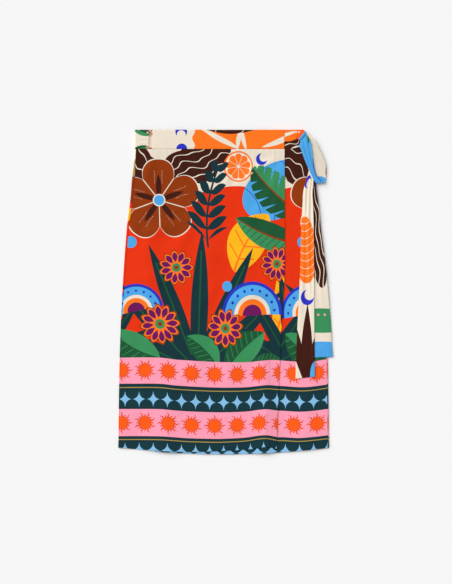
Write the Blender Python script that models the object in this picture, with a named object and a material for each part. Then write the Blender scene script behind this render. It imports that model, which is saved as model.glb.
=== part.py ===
"""A wrap skirt laid flat: three panels, their waistbands and a long tie, as cloth walls lying on each other.

Metres, +Z up. The skirt lies on its back on the floor, with its front facing +Z and its waist towards +Y.
The origin is on the flat underside, where the centre line crosses the middle of the skirt's length.
Tables are in millimetres, and MM turns them into metres.
"""

import math
from typing import NamedTuple

import bmesh
import bpy
from mathutils import Vector

MM = 0.001

# Driving dimensions, in millimetres
LENGTH = 713.0  # from the top of the waistband to the lowest point of the hem
BAND_HEIGHT = 42.5
SEAM = 0.3  # between pieces that are sewn together, and between layers
PANEL_WALL = 1.0
BAND_WALL = 1.4  # folded double over interfacing
TIE_WALL = 1.0
TIE_WIDTH = 40.0

TOP_Y = LENGTH / 2
WAIST_Y = TOP_Y - BAND_HEIGHT
HEM_BOW = 14.3  # how much lower the under front's hem hangs at the centre than at the sides
BACK_BOW = 0.8  # the back's, as a share of that
BODY = LENGTH - BAND_HEIGHT - HEM_BOW  # waist seam to hem, at the side seams

# Heights of the middle of each layer, from the floor up
BACK_Z = PANEL_WALL / 2
FRONT_Z = BACK_Z + PANEL_WALL + SEAM
LAYER = PANEL_WALL + SEAM
TIE_BACK_Z = TIE_WALL / 2
BAND_BACK_Z = TIE_WALL + SEAM + BAND_WALL / 2
BAND_LAYER = BAND_WALL + SEAM
BAND_UNDER_Z = BAND_BACK_Z + BAND_LAYER
BAND_OVER_Z = BAND_UNDER_Z + BAND_LAYER
TIE_FRONT_Z = BAND_OVER_Z - BAND_WALL / 2 + TIE_WALL / 2
TIE_END_Z = BAND_UNDER_Z - BAND_WALL / 2 + TIE_WALL / 2
WAIST_RAMP = 26.0  # over this depth below the seam the panels climb to their bands
BACK_CLIMB = 1.5
FRONT_CLIMB = 1.9
OVER_CLIMB = 2.3

UNDER_EDGE_X = -150.0  # the under front's free edge, hidden inside
EDGE_STEP = 30.0  # the over front climbs on to the under front within this width
EDGE_SPARE = 8.0  # and is up by this far before its edge
OVER_SWELL = 1.1  # the over front's folds, against those of the under front inside them
RIGHT_TURN = 2.4  # how far the back turns over the right side
SLIT_LEFT_X = -165.0  # the tie comes out of the waistband between these two
SLIT_RIGHT_X = -156.0
BAND_OVER_END_X = 133.5
DIP_X, DIP_HALF, DIP = 15.5, 57.0, 9.5  # the front waistbands sag below the back one here
DIP_HIDDEN = 2.0  # and the under one a little more

KNOT_X, KNOT_Y, KNOT_Z = 170.3, 344.3, 10.6
KNOT_TURN = math.radians(50)  # the knot's long way, from +X
KNOT_HALF, KNOT_RISE, KNOT_REACH = 12.0, 4.3, 6.2  # half its width, height and length
KNOT_FOLDS, KNOT_FOLD = 3, 0.25  # the folds round the knot, and how far each stands out
KNOT_AROUND, KNOT_LINES = 28, 6  # its faces, round and along
MOUTH_X, MOUTH_LOW_Y, MOUTH_HIGH_Y = 163.6, 336.5, 352.4  # where both ties meet under the knot
ROOT_HALF = 8.8  # half the width of what is gathered inside the knot
ROOT_REACH = 4.0

TIE_LOW_Y = WAIST_Y + 1.2  # the lower edge of the tie, on the waistband
TIE_CLEAR = 0.35  # between the tie and the side of the waistband that it turns round
GATHERS = 2.5  # waves across a gathered tie
SIDE_SAG = 1.2  # how far a tie sinks beside the skirt
SAG_START, SAG_WIDTH = 1.5, 10.0  # where that starts, out from the side, and how soon it is reached
STACK_Y, STACK_RAMP = 306.0, 10.0  # above this the ties lie straight on each other, within that length
TAIL_STEP, TAIL_SPARE = 5.0, 1.5  # the front tail climbs on to the back one, and is up before its edge
EASE = 0.1  # the little more room that loose pieces have on each other
LINES = 20  # rows of faces down each panel, the same on all three so that their side seams match
COLUMNS = 24
RIBBON_COLUMNS = 10
BENDS = 6  # faces round each folded side


class Side(NamedTuple):
    """How far out the sides are at a depth below the waist seam, and the back's turn over the left one."""

    drop: float
    left: float
    right: float
    turn: float


SIDES = (
    Side(0, 194.3, 172.5, 1.9),
    Side(25, 196.3, 184.5, 2.4),
    Side(62, 201.3, 195.5, 6.2),
    Side(110, 205.2, 203.5, 5.6),
    Side(172, 213.0, 211.0, 4.8),
    Side(315, 222.9, 222.9, 3.6),
    Side(458, 228.8, 228.8, 2.4),
    Side(656, 231.7, 231.7, 1.6),
)


class Edge(NamedTuple):
    """Where an edge lies, such as the over front's free edge at a depth below the waist seam."""

    drop: float
    x: float


OVER_EDGE = (
    Edge(0, 134.0),
    Edge(222, 135.0),
    Edge(300, 133.0),
    Edge(400, 127.0),
    Edge(480, 123.5),
    Edge(656, 116.4),
)


class Hem(NamedTuple):
    """How far the over front's hem hangs below its side corners."""

    x: float
    drop: float


OVER_HEM = (
    Hem(-231.7, 0.0),
    Hem(-160, 5.5),
    Hem(-80, 9.2),
    Hem(0, 6.8),
    Hem(62, 2.9),
    Hem(94, -2.0),
    Hem(118, 2.4),
)


class Flute(NamedTuple):
    """A soft fold of the front panels that opens towards the hem."""

    x_top: float
    x_hem: float
    y_top: float
    half: float
    height: float


FLUTES = (
    Flute(-112, -128, 20, 27, 3.0),
    Flute(84, 94, 60, 18, 3.4),
    Flute(172, 186, 40, 24, 1.6),
)


class Section(NamedTuple):
    """A section of a ribbon of cloth: its left and right edge, their heights, and its gathers' depth."""

    xl: float
    yl: float
    zl: float
    xr: float
    yr: float
    zr: float
    gather: float


BOW_FRONT = (
    Section(166.0, 321.6, 13.0, 190.5, 330.4, 12.6, 0.5),
    Section(170.7, 309.5, 12.4, 193.6, 312.8, 11.6, 0.5),
    Section(177.3, 290.8, 11.8, 195.8, 294.1, 10.8, 0.4),
    Section(185.7, 271.5, 11.0, 198.5, 274.3, 10.2, 0.3),
    Section(193.8, 254.5, 10.0, 204.0, 256.7, 9.0, 0.2),
    Section(198.9, 244.4, 8.8, 213.2, 244.9, 7.6, 0.0),
    Section(203.4, 238.9, 7.2, 222.0, 240.7, 5.8, 0.0),
)
BOW_BACK = (
    Section(202.2, 244.4, 5.6, 223.8, 244.8, 3.8, 0.0),
    Section(195.8, 265.5, 7.4, 225.3, 265.5, 3.6, 0.0),
    Section(190.1, 285.3, 8.2, 223.5, 284.2, 4.4, 0.0),
    Section(183.5, 305.1, 10.0, 213.2, 307.3, 6.9, 0.0),
    Section(174.6, 323.4, 11.0, 197.6, 335.0, 9.9, 0.0),
)
TAIL_FRONT = (
    Section(173.6, 319.3, 2.4, 190.1, 327.1, 2.0, 0.0),
    Section(180.2, 296.3, 1.2, 196.7, 298.5, 0.9, 0.0),
    Section(187.0, 272.1, 0.6, 200.0, 272.1, 0.4, 0.0),
    Section(182.6, 249.0, 0.2, 197.8, 249.0, 0.2, 0.3),
    Section(175.3, 222.0, 0.0, 195.2, 219.3, 0.0, 0.8),
    Section(173.4, 190.7, 0.0, 196.4, 190.7, 0.0, 1.0),
    Section(170.3, 135.7, 0.0, 198.0, 135.7, 0.0, 0.9),
    Section(168.3, 50.4, 0.0, 198.7, 50.4, 0.0, 0.6),
    Section(165.0, -21.3, 0.0, 199.1, -21.3, 0.0, 0.3),
    Section(161.5, -88.7, 0.0, 199.5, -88.7, 0.0, 0.1),
    Section(159.1, -151.4, 0.0, 200.2, -151.4, 0.0, 0.0),
    Section(158.2, -190.5, 0.0, 200.6, -185.9, 0.0, 0.0),
)
TAIL_BACK = (
    Section(174.7, 319.8, 2.3, 192.3, 328.2, 1.7, 0.0),
    Section(181.3, 296.3, 1.0, 201.1, 298.5, 0.6, 0.0),
    Section(185.7, 272.1, 0.4, 203.3, 272.1, 0.2, 0.0),
    Section(183.5, 245.7, 0.1, 202.4, 245.7, 0.1, 0.2),
    Section(180.2, 217.1, 0.0, 205.3, 217.1, 0.0, 0.5),
    Section(181.3, 181.9, 0.0, 209.7, 181.9, 0.0, 0.7),
    Section(185.7, 135.7, 0.0, 214.1, 135.7, 0.0, 0.6),
    Section(190.1, 46.0, 0.0, 225.5, 46.0, 0.0, 0.4),
    Section(194.5, -66.2, 0.0, 235.6, -66.2, 0.0, 0.1),
    Section(197.1, -115.0, 0.0, 237.8, -115.0, 0.0, 0.0),
    Section(197.6, -144.3, 0.0, 240.5, -141.9, 0.0, 0.0),
)
TIE_OVER = (
    Section(133.9, 330.7, 0.0, 133.9, 356.1, 0.0, 0.0),
    Section(147.0, 331.2, 0.0, 147.0, 355.9, 0.0, 0.0),
    Section(154.5, 333.6, 0.0, 155.0, 355.2, 0.0, 0.0),
    Section(MOUTH_X - SEAM, MOUTH_LOW_Y, 0.0, MOUTH_X - SEAM, MOUTH_HIGH_Y, 0.0, 0.0),
)


class Colour(NamedTuple):
    """A plain stand-in for one piece's print."""

    red: float
    green: float
    blue: float


ORANGE_RED = Colour(0.80, 0.04, 0.01)
CREAM = Colour(0.83, 0.74, 0.62)
ORANGE = Colour(0.95, 0.17, 0.02)
DARK_BROWN = Colour(0.06, 0.013, 0.008)
SKY_BLUE = Colour(0.09, 0.36, 0.82)


def clear_scene():
    """Leaves an empty scene."""
    for thing in list(bpy.data.objects):
        bpy.data.objects.remove(thing)


def ease(share):
    """0 below 0, 1 above 1, and a smooth climb between."""
    share = min(1.0, max(0.0, share))
    return share * share * (3 - 2 * share)


def read(table, column, key):
    """A table's column at a value of its first column, on one smooth curve through the rows."""
    keys = [row[0] for row in table]
    values = [getattr(row, column) for row in table]
    if key <= keys[0]:
        return values[0]
    if key >= keys[-1]:
        return values[-1]
    i = max(n for n, k in enumerate(keys) if k <= key)
    return hermite(keys, values, i, (key - keys[i]) / (keys[i + 1] - keys[i]))


def hermite(keys, values, i, share):
    """Cubic between values i and i + 1, with the slopes of their neighbours."""
    step = keys[i + 1] - keys[i]

    def slope(n):
        low, high = max(0, n - 1), min(len(keys) - 1, n + 1)
        return (values[high] - values[low]) / (keys[high] - keys[low])

    s2, s3 = share * share, share * share * share
    return (
        (2 * s3 - 3 * s2 + 1) * values[i]
        + (s3 - 2 * s2 + share) * step * slope(i)
        + (3 * s2 - 2 * s3) * values[i + 1]
        + (s3 - s2) * step * slope(i + 1)
    )


def relief(x, y):
    """Height of the soft folds that run up from the hem."""
    total = 0.0
    for fold in FLUTES:
        down = (fold.y_top - y) / (fold.y_top + TOP_Y)
        middle = fold.x_top + (fold.x_hem - fold.x_top) * down
        total += fold.height * ease(down) * math.exp(-(((x - middle) / fold.half) ** 2))
    return total


def climb(y):
    """1 at the waist seam, falling to 0 where the panels lie flat."""
    return ease(1 - (WAIST_Y - y) / WAIST_RAMP)


def front_height(x, y):
    """The middle of the under front, and of the over front where it lies on the back."""
    return FRONT_Z + FRONT_CLIMB * climb(y) + relief(x, y)


def over_height(x, y):
    """The middle of the over front, which climbs on to the under front past its free edge."""
    on_top = ease((x - UNDER_EDGE_X + EDGE_STEP + EDGE_SPARE) / EDGE_STEP)
    rise = LAYER + (OVER_CLIMB - FRONT_CLIMB) * climb(y) + (OVER_SWELL - 1) * relief(x, y)
    return front_height(x, y) + on_top * rise


def cloth(name, rows, wall, colour, closed=False):
    """Makes a cloth wall from rows of points on its middle surface. A closed one goes all the way round."""
    shape = bmesh.new()
    grid = [[shape.verts.new(Vector(point) * MM) for point in row] for row in rows]
    columns = len(rows[0])
    for lower, upper in zip(grid, grid[1:]):
        for c in range(columns if closed else columns - 1):
            d = (c + 1) % columns
            shape.faces.new((lower[c], lower[d], upper[d], upper[c]))
    mesh = bpy.data.meshes.new(name)
    shape.to_mesh(mesh)
    shape.free()
    mesh.shade_smooth()
    piece = bpy.data.objects.new(name, mesh)
    bpy.context.scene.collection.objects.link(piece)
    thick = piece.modifiers.new("wall", "SOLIDIFY")
    thick.thickness = wall * MM
    thick.offset = 0
    piece.data.materials.append(finish(name, colour))
    return piece


def finish(name, colour):
    """A plain matt cloth of one colour."""
    material = bpy.data.materials.new(name)
    material.use_nodes = True
    shader = material.node_tree.nodes["Principled BSDF"]
    shader.inputs["Base Color"].default_value = (*colour, 1)
    shader.inputs["Roughness"].default_value = 0.85
    shader.inputs["Metallic"].default_value = 0.0
    return material


def shares(count):
    """count + 1 even steps from 0 to 1."""
    return [n / count for n in range(count + 1)]


def mix(low, high, share):
    """A number between two others."""
    return low + (high - low) * share


def panel(name, left, right, hem_drop, height, columns, colour):
    """Makes a front panel from its two edges, its hem and its height, in rows from the hem up."""
    rows = []
    for down in reversed(shares(LINES)):
        drop = down * BODY
        row = []
        for across in shares(columns):
            x = mix(left(drop), right(drop), across)
            y = WAIST_Y - SEAM / 2 - down * (BODY + hem_drop(x))
            row.append((x, y, height(x, y)))
        rows.append(row)
    return cloth(name, rows, PANEL_WALL, colour)


def under_hem(x):
    """How far the under front's hem hangs below its corners, as one even bow."""
    return HEM_BOW * (1 - (x / SIDES[-1].left) ** 2)


def front_panels():
    """The over front and the under front, each from its side seam to its free edge."""
    panel(
        "front_over",
        lambda drop: read(SIDES, "turn", drop) + SEAM - read(SIDES, "left", drop),
        lambda drop: read(OVER_EDGE, "x", drop),
        lambda x: read(OVER_HEM, "drop", x),
        over_height,
        COLUMNS,
        ORANGE_RED,
    )
    panel(
        "front_under",
        lambda drop: UNDER_EDGE_X,
        lambda drop: read(SIDES, "right", drop) - RIGHT_TURN - SEAM,
        under_hem,
        front_height,
        COLUMNS,
        ORANGE_RED,
    )


def folded(left_end, left, right, right_end, low, high_left, high_right, columns):
    """A strip seen end on, along the bottom and round both sides, back over the top to its two ends."""
    path = [(left_end, high_left)]
    radius = (high_left - low) / 2
    for n in shares(BENDS):
        turn = math.pi * (0.5 + n)
        middle = (high_left + low) / 2
        path.append((left + radius + radius * math.cos(turn), middle + radius * math.sin(turn)))
    start, radius = path[-1][0], (high_right - low) / 2
    path += [(mix(start, right - radius, n), low) for n in shares(columns)[1:]]
    for n in shares(BENDS)[1:]:
        turn = math.pi * (n - 0.5)
        middle = (high_right + low) / 2
        path.append((right - radius + radius * math.cos(turn), middle + radius * math.sin(turn)))
    path.append((right_end, high_right))
    return path


def back_panel():
    """The back, whose margins turn over both sides to meet the front panels at the side seams."""
    rows = []
    half = PANEL_WALL / 2
    for down in reversed(shares(LINES)):
        drop = down * BODY
        left, right = -read(SIDES, "left", drop), read(SIDES, "right", drop)
        y = WAIST_Y - SEAM / 2 - drop
        low = BACK_Z + BACK_CLIMB * climb(y)
        high = FRONT_Z + FRONT_CLIMB * climb(y)
        high_right = high + relief(right, y)
        path = folded(
            left + read(SIDES, "turn", drop),
            left + half,
            right - half,
            right - RIGHT_TURN,
            low,
            high + relief(left, y),
            high_right,
            columns=8,
        )
        rows.append([(x, y - down * BACK_BOW * under_hem(x), z) for x, z in path])
    return cloth("back_panel", rows, PANEL_WALL, ORANGE_RED)


def band_top(x, deeper=0.0):
    """The top edge of a front waistband, with its sag below the back one."""
    share = (x - DIP_X) / DIP_HALF
    return TOP_Y - (DIP + deeper) * max(0.0, 1 - share * share) ** 1.3


def band(name, left, right, height, deeper, columns, colour):
    """Makes a flat front waistband between two ends."""
    rows = []
    for up in shares(2):
        row = []
        for across in shares(columns):
            x = mix(left, right, across)
            row.append((x, mix(WAIST_Y + SEAM / 2, band_top(x, deeper), up), height))
        rows.append(row)
    return cloth(name, rows, BAND_WALL, colour)


def waistbands():
    """The back waistband, which turns over the left side up to the slit, and the two front ones."""
    top = SIDES[0]
    half = BAND_WALL / 2
    path = folded(
        SLIT_LEFT_X,
        -top.left + half,
        top.right - half,
        top.right - RIGHT_TURN,
        BAND_BACK_Z,
        BAND_UNDER_Z,
        BAND_UNDER_Z,
        columns=8,
    )
    rows = [[(x, mix(WAIST_Y + SEAM / 2, TOP_Y, up), z) for x, z in path] for up in shares(1)]
    cloth("band_back", rows, BAND_WALL, DARK_BROWN)
    under_right = top.right - RIGHT_TURN - SEAM
    band("band_under", UNDER_EDGE_X + 1, under_right, BAND_UNDER_Z, DIP_HIDDEN, 24, DARK_BROWN)
    band("band_over", SLIT_RIGHT_X, BAND_OVER_END_X, BAND_OVER_Z, 0.0, 24, CREAM)


def tie_wrap():
    """The under front's tie: out through the slit, round the left side, under the back and up to the knot."""
    top = SIDES[0]
    out = TIE_CLEAR + TIE_WALL / 2
    outside = folded(
        SLIT_LEFT_X,
        -top.left - out,
        top.right + out,
        MOUTH_X + SEAM,
        TIE_BACK_Z,
        TIE_FRONT_Z,
        TIE_FRONT_Z,
        columns=10,
    )
    path = [(UNDER_EDGE_X, TIE_END_Z), (SLIT_RIGHT_X, TIE_END_Z)] + outside
    rows = []
    for up in shares(2):
        row = []
        for n, (x, z) in enumerate(path):
            narrowed = ease((n - len(path) + 1) / BENDS + 1)
            low = mix(TIE_LOW_Y, MOUTH_LOW_Y, narrowed)
            high = mix(TIE_LOW_Y + TIE_WIDTH, MOUTH_HIGH_Y, narrowed)
            row.append((x, mix(low, high, up), z))
        rows.append(row)
    return cloth("tie_wrap", rows, TIE_WALL, CREAM)


def knot_point(along, across, up):
    """A point of the knot's own frame: along the way the loop leaves it, across, and up."""
    leave = KNOT_TURN - math.pi / 2
    x = KNOT_X + along * math.cos(leave) + across * math.cos(KNOT_TURN)
    y = KNOT_Y + along * math.sin(leave) + across * math.sin(KNOT_TURN)
    return x, y, KNOT_Z + up


def knot():
    """The wrap of cloth round the roots of the loop and the tails, with soft folds across it."""
    half, rise = KNOT_HALF - TIE_WALL / 2, KNOT_RISE - TIE_WALL / 2
    rows = []
    for n in shares(KNOT_LINES):
        along = mix(-KNOT_REACH, KNOT_REACH, n)
        swell = KNOT_FOLD * math.sin(n * math.pi * KNOT_FOLDS) ** 2
        row = []
        for c in range(KNOT_AROUND):
            turn = 2 * math.pi * c / KNOT_AROUND
            cos, sin = math.cos(turn), math.sin(turn)
            size = (cos**4 + sin**4) ** -0.25
            row.append(knot_point(along, (half + swell) * size * cos, (rise + swell) * size * sin))
        rows.append(row)
    return cloth("knot", rows, TIE_WALL, ORANGE, closed=True)


def root(level, rest=lambda x, y: 0.0):
    """The two sections of a ribbon inside the knot, at their level in its stack, above what rest gives."""
    rows = []
    for along in (-ROOT_REACH, KNOT_REACH + 0.4):
        xl, yl, z = knot_point(along, -ROOT_HALF, (level - 1.5) * LAYER)
        xr, yr, z = knot_point(along, ROOT_HALF, (level - 1.5) * LAYER)
        rows.append(Section(xl, yl, z - rest(xl, yl), xr, yr, z - rest(xr, yr), 0.0))
    return tuple(rows)


def ribbon(name, sections, steps, colour, rest=lambda x, y: 0.0):
    """Makes a tie on smooth curves through its sections' edges. Their heights are above what rest gives."""
    keys = list(range(len(sections)))
    rows = []
    for n in shares(steps):
        at = n * (len(sections) - 1)
        i = min(int(at), len(sections) - 2)
        here = Section(*(hermite(keys, list(column), i, at - i) for column in zip(*sections)))
        row = []
        for across in shares(RIBBON_COLUMNS):
            x, y = mix(here.xl, here.xr, across), mix(here.yl, here.yr, across)
            wave = here.gather * (1 - math.cos(2 * math.pi * GATHERS * across))
            row.append((x, y, rest(x, y) + mix(here.zl, here.zr, across) + wave))
        rows.append(row)
    return cloth(name, rows, TIE_WALL, colour)


def along_tail(sections, column, y):
    """A column of a tail's sections at a distance up the skirt."""
    rows = sorted(sections, key=lambda row: row.yl)
    table = [Edge(row.yl, getattr(row, column)) for row in rows]
    return read(table, "x", y)


def stacked(y):
    """1 where the ties lie straight on each other, at the knot and just below it, and 0 where they part."""
    return ease((y - STACK_Y) / STACK_RAMP)


def on_skirt(x, y):
    """The middle of a tie that lies on the under front, or just off its side, where it sinks a little."""
    side = read(SIDES, "right", WAIST_Y - y)
    sunk = SIDE_SAG * ease((x - side - SAG_START) / SAG_WIDTH) * (1 - stacked(y))
    return front_height(min(x, side), y) + PANEL_WALL / 2 + SEAM + EASE + TIE_WALL / 2 - sunk


def on_tail(x, y):
    """The middle of the front tail, which climbs from the skirt on to the back tail."""
    past_edge = x - along_tail(TAIL_BACK, "xl", y) + TAIL_SPARE
    on_back = max(ease(1 + past_edge / TAIL_STEP), stacked(y))
    return on_skirt(x, y) + on_back * (LAYER + EASE + 2 * along_tail(TAIL_BACK, "gather", y))


def tie_ends():
    """The bow's loop and the two tails, stacked inside the knot and spread out on the skirt."""
    ribbon("tail_back", root(0, on_skirt) + TAIL_BACK, 36, CREAM, on_skirt)
    ribbon("tail_front", root(1, on_tail) + TAIL_FRONT, 38, CREAM, on_tail)
    loop = root(3) + BOW_FRONT + BOW_BACK + tuple(reversed(root(2)))
    ribbon("bow_loop", loop, 48, SKY_BLUE)
    ribbon("tie_over", TIE_OVER, 8, ORANGE, lambda x, y: TIE_FRONT_Z)


def main():
    """Builds the skirt from the floor up."""
    clear_scene()
    back_panel()
    front_panels()
    waistbands()
    tie_wrap()
    knot()
    tie_ends()


main()
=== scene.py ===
"""A wrap skirt laid flat: its printed cloth, folds, hems and stitches, tie and bow, dressed over the frame.

Sizes are in millimetres, and MM makes them metres. X runs across, Y up to the waist, Z off the floor.
"""

import logging
import math
from dataclasses import dataclass, field
from enum import Enum
from typing import Callable, Iterable, NamedTuple, Optional, Sequence, Union

import bpy
import numpy as np
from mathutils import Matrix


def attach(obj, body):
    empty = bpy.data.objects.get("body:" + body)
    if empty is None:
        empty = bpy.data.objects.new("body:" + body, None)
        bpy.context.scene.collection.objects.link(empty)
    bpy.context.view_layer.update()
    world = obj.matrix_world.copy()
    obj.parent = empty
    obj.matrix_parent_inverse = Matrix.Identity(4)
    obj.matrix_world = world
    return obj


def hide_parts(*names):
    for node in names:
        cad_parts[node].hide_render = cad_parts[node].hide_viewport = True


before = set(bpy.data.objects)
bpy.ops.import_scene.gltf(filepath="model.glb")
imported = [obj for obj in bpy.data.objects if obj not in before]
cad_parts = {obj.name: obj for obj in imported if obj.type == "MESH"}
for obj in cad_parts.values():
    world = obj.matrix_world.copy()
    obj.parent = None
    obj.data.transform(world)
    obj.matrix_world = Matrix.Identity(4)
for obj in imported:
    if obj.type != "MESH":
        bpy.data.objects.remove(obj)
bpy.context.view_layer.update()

MM = 0.001
CLOTH_MAP = "Cloth"  # the UV map that says where a point was on the flat printed cloth, in metres
BODY = "root"

log = logging.getLogger("wrap_skirt")

Array = np.ndarray
Piece = bpy.types.Object
Rest = Callable[[Array, Array], Array]
Rows = Sequence[tuple[float, ...]]


# --- Curves and folds ---


def ease(share: Union[float, Array]) -> Array:
    """0 below 0, 1 above 1, and a smooth climb between."""
    held = np.clip(share, 0.0, 1.0)
    return held * held * (3 - 2 * held)


def mix(low: Array, high: Array, share: Array) -> Array:
    """Numbers between two others."""
    return low + (high - low) * share


def together(*parts: Array) -> Array:
    """Points from their coordinates, each spread over the whole grid."""
    return np.stack(np.broadcast_arrays(*parts), -1)


def runs(path: Array) -> Array:
    """How far along a path each of its points lies."""
    return np.concatenate([[0], np.cumsum(np.linalg.norm(np.diff(path, axis=0), axis=1))])


class Curve:
    """One smooth curve through a few values at rising keys, level past its ends."""

    def __init__(self, keys: Sequence[float], values: Sequence[float]) -> None:
        """Fits its slope at each key to the keys beside it.

        Args:
            keys: the rising keys.
            values: the value at each.
        """
        self.keys, self.values = np.array(keys, float), np.array(values, float)
        low = np.maximum(np.arange(len(keys)) - 1, 0)
        high = np.minimum(np.arange(len(keys)) + 1, len(keys) - 1)
        self.slopes = (self.values[high] - self.values[low]) / (self.keys[high] - self.keys[low])

    def __call__(self, at: Union[float, Array]) -> Array:
        """Its value at one place or at each of an array of them.

        Args:
            at: the place or places.

        Returns:
            The value at each.
        """
        held = np.clip(at, self.keys[0], self.keys[-1])
        i = np.clip(np.searchsorted(self.keys, held, side="right") - 1, 0, len(self.keys) - 2)
        step = self.keys[i + 1] - self.keys[i]
        s = (held - self.keys[i]) / step
        s2, s3 = s * s, s * s * s
        low = (2 * s3 - 3 * s2 + 1) * self.values[i] + (s3 - 2 * s2 + s) * step * self.slopes[i]
        return low + (3 * s2 - 2 * s3) * self.values[i + 1] + (s3 - s2) * step * self.slopes[i + 1]


def bent_wave(along: Array, across: Array, step: float, bend: float, slow: float) -> Array:
    """A sine wave along one way, which a slower one across it bends."""
    return np.sin(along * step + bend * np.sin(across * slow))


CREASE_FADE = 0.7  # how bluntly a crease fades at both ends
CREASE_WIDTHS = (0.75, 1.25)  # its width at each end, as a share


def creased(creases: Rows, x: Array, y: Array) -> Array:
    """The height that creases add.

    Args:
        creases: soft ridges, or troughs where the height is below 0, each as the X and Y of both ends, its
            half width, its height, and how far it bows.
        x: places across the skirt.
        y: places along it.

    Returns:
        The height at each place.
    """
    total = 0.0
    for x0, y0, x1, y1, half, height, bow in creases:
        dx, dy = x1 - x0, y1 - y0
        length = math.hypot(dx, dy)
        along = ((x - x0) * dx + (y - y0) * dy) / length**2
        held = np.clip(along, 0, 1)
        across = ((x - x0) * dy - (y - y0) * dx) / length - bow * 4 * held * (1 - held)
        past = (along - held) * length
        fade, width = np.sin(np.pi * held) ** CREASE_FADE, half * mix(*CREASE_WIDTHS, held)
        total = total + height * fade * np.exp(-(across**2 + past**2) / width**2)
    return total


SIDE_DROPS = (0, 25, 62, 110, 172, 315, 458, 656)  # below the waist seam
LEFT_SIDE = Curve(SIDE_DROPS, (194.3, 196.3, 201.3, 205.2, 213.0, 222.9, 228.8, 231.7))
RIGHT_SIDE = Curve(SIDE_DROPS, (172.5, 184.5, 195.5, 203.5, 211.0, 222.9, 228.8, 231.7))
# how far the back turns over the left side
SIDE_TURN = Curve(SIDE_DROPS, (1.9, 2.4, 6.2, 5.6, 4.8, 3.6, 2.4, 1.6))
# the fronts' soft folds from the hem up: X at the top and at the hem, Y of the top, half width, height
FLUTES = ((-112, -128, 20, 27, 3.0), (84, 94, 60, 18, 3.4), (172, 186, 40, 24, 1.6))
# the wrinkles between them: height, then step, bend and slow step of a bent wave across and of one along
WRINKLES = ((0.4, (0.083, 1.7, 0.021), (0.061, 1.3, 0.017)), (0.14, (0.17, 2.1, 0.031), (0.14, -1.6, 0.041)))


@dataclass(frozen=True)
class Form:
    """The skirt's own sizes, and how high each of its layers lies."""

    length: float = 713.0
    band_height: float = 42.5
    seam: float = 0.3
    panel_wall: float = 1.0
    band_wall: float = 1.4
    tie_wall: float = 1.0
    cloth: float = 0.6  # what shows of a panel or a tie is thinner than its solid
    hem: float = 12.0
    doubled: float = 0.3
    hem_bow: float = 14.3
    back_bow: float = 0.8
    waist_ramp: float = 26.0
    back_climb: float = 1.5
    front_climb: float = 1.9
    over_climb: float = 2.3
    under_edge_x: float = -150.0
    edge_step: float = 30.0
    edge_spare: float = 8.0
    over_swell: float = 1.1
    right_turn: float = 2.4
    wrinkle_start: float = 8.0
    wrinkle_ramp: float = 40.0

    @property
    def top_y(self) -> float:
        """The top of the waistband."""
        return self.length / 2

    @property
    def waist_y(self) -> float:
        """The waist seam."""
        return self.top_y - self.band_height

    @property
    def body(self) -> float:
        """From the waist seam to the hem, at the sides."""
        return self.length - self.band_height - self.hem_bow

    @property
    def layer(self) -> float:
        """From one panel to the next above it."""
        return self.panel_wall + self.seam

    def under_hem(self, x: Array) -> Array:
        """How far the under front's hem hangs below its corners."""
        return self.hem_bow * (1 - (x / LEFT_SIDE.values[-1]) ** 2)

    def relief(self, x: Array, y: Array) -> Array:
        """Height of the soft folds that run up from the hem, and of the wrinkles between them.

        Args:
            x: places across the skirt.
            y: places along it.

        Returns:
            The height at each place.
        """
        total = 0.0
        for height, one, other in WRINKLES:
            total = total + height * (1 + bent_wave(x, y, *one) * bent_wave(y, x, *other))
        total = total * ease((self.waist_y - self.wrinkle_start - y) / self.wrinkle_ramp)
        for x_top, x_hem, y_top, half, height in FLUTES:
            down = (y_top - y) / (y_top + self.top_y)
            total = total + height * ease(down) * np.exp(-(((x - mix(x_top, x_hem, down)) / half) ** 2))
        return total

    def climb(self, y: Array) -> Array:
        """1 at the waist seam, falling to 0 where the panels lie flat."""
        return ease(1 - (self.waist_y - y) / self.waist_ramp)

    def front_height(self, x: Array, y: Array) -> Array:
        """The middle of the under front, and of the over front where it lies on the back."""
        return 1.5 * self.panel_wall + self.seam + self.front_climb * self.climb(y) + self.relief(x, y)

    def over_height(self, x: Array, y: Array) -> Array:
        """The middle of the over front, which climbs on to the under front past its free edge.

        Args:
            x: places across the skirt.
            y: places along it.

        Returns:
            The height at each place.
        """
        on_top = ease((x - self.under_edge_x + self.edge_step + self.edge_spare) / self.edge_step)
        steeper = (self.over_climb - self.front_climb) * self.climb(y)
        return self.front_height(x, y) + on_top * (
            self.layer + steeper + (self.over_swell - 1) * self.relief(x, y)
        )


# --- Inks and the wiring of materials ---


class Ink(Enum):
    """The print's colours, and the threads', in everyday 0 to 255 steps."""

    RED = (231, 51, 10)
    CREAM = (236, 224, 205)
    DARK_BROWN = (64, 25, 15)
    BROWN = (145, 55, 6)
    TEAL = (19, 52, 59)
    SCALLOP = (20, 55, 62)
    GREEN = (58, 143, 89)
    DARK_GREEN = (28, 86, 52)
    SKY = (77, 166, 230)
    STAR = (134, 191, 232)
    ROYAL = (42, 52, 190)
    YELLOW = (252, 182, 24)
    ORANGE = (255, 118, 28)
    SUN = (255, 92, 20)
    RAY = (238, 82, 26)
    PINK = (253, 158, 183)
    SALMON = (214, 150, 122)
    PURPLE = (108, 20, 90)
    OCHRE = (178, 150, 72)

    @property
    def linear(self) -> tuple[float, float, float, float]:
        """The colour as light, for a shader."""
        shares = (part / 255 for part in self.value)
        return (*(s / 12.92 if s <= 0.04045 else ((s + 0.055) / 1.055) ** 2.4 for s in shares), 1.0)


Given = Union["Signal", float, tuple, Ink]
Layers = Iterable[tuple["Signal", Ink]]


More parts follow.
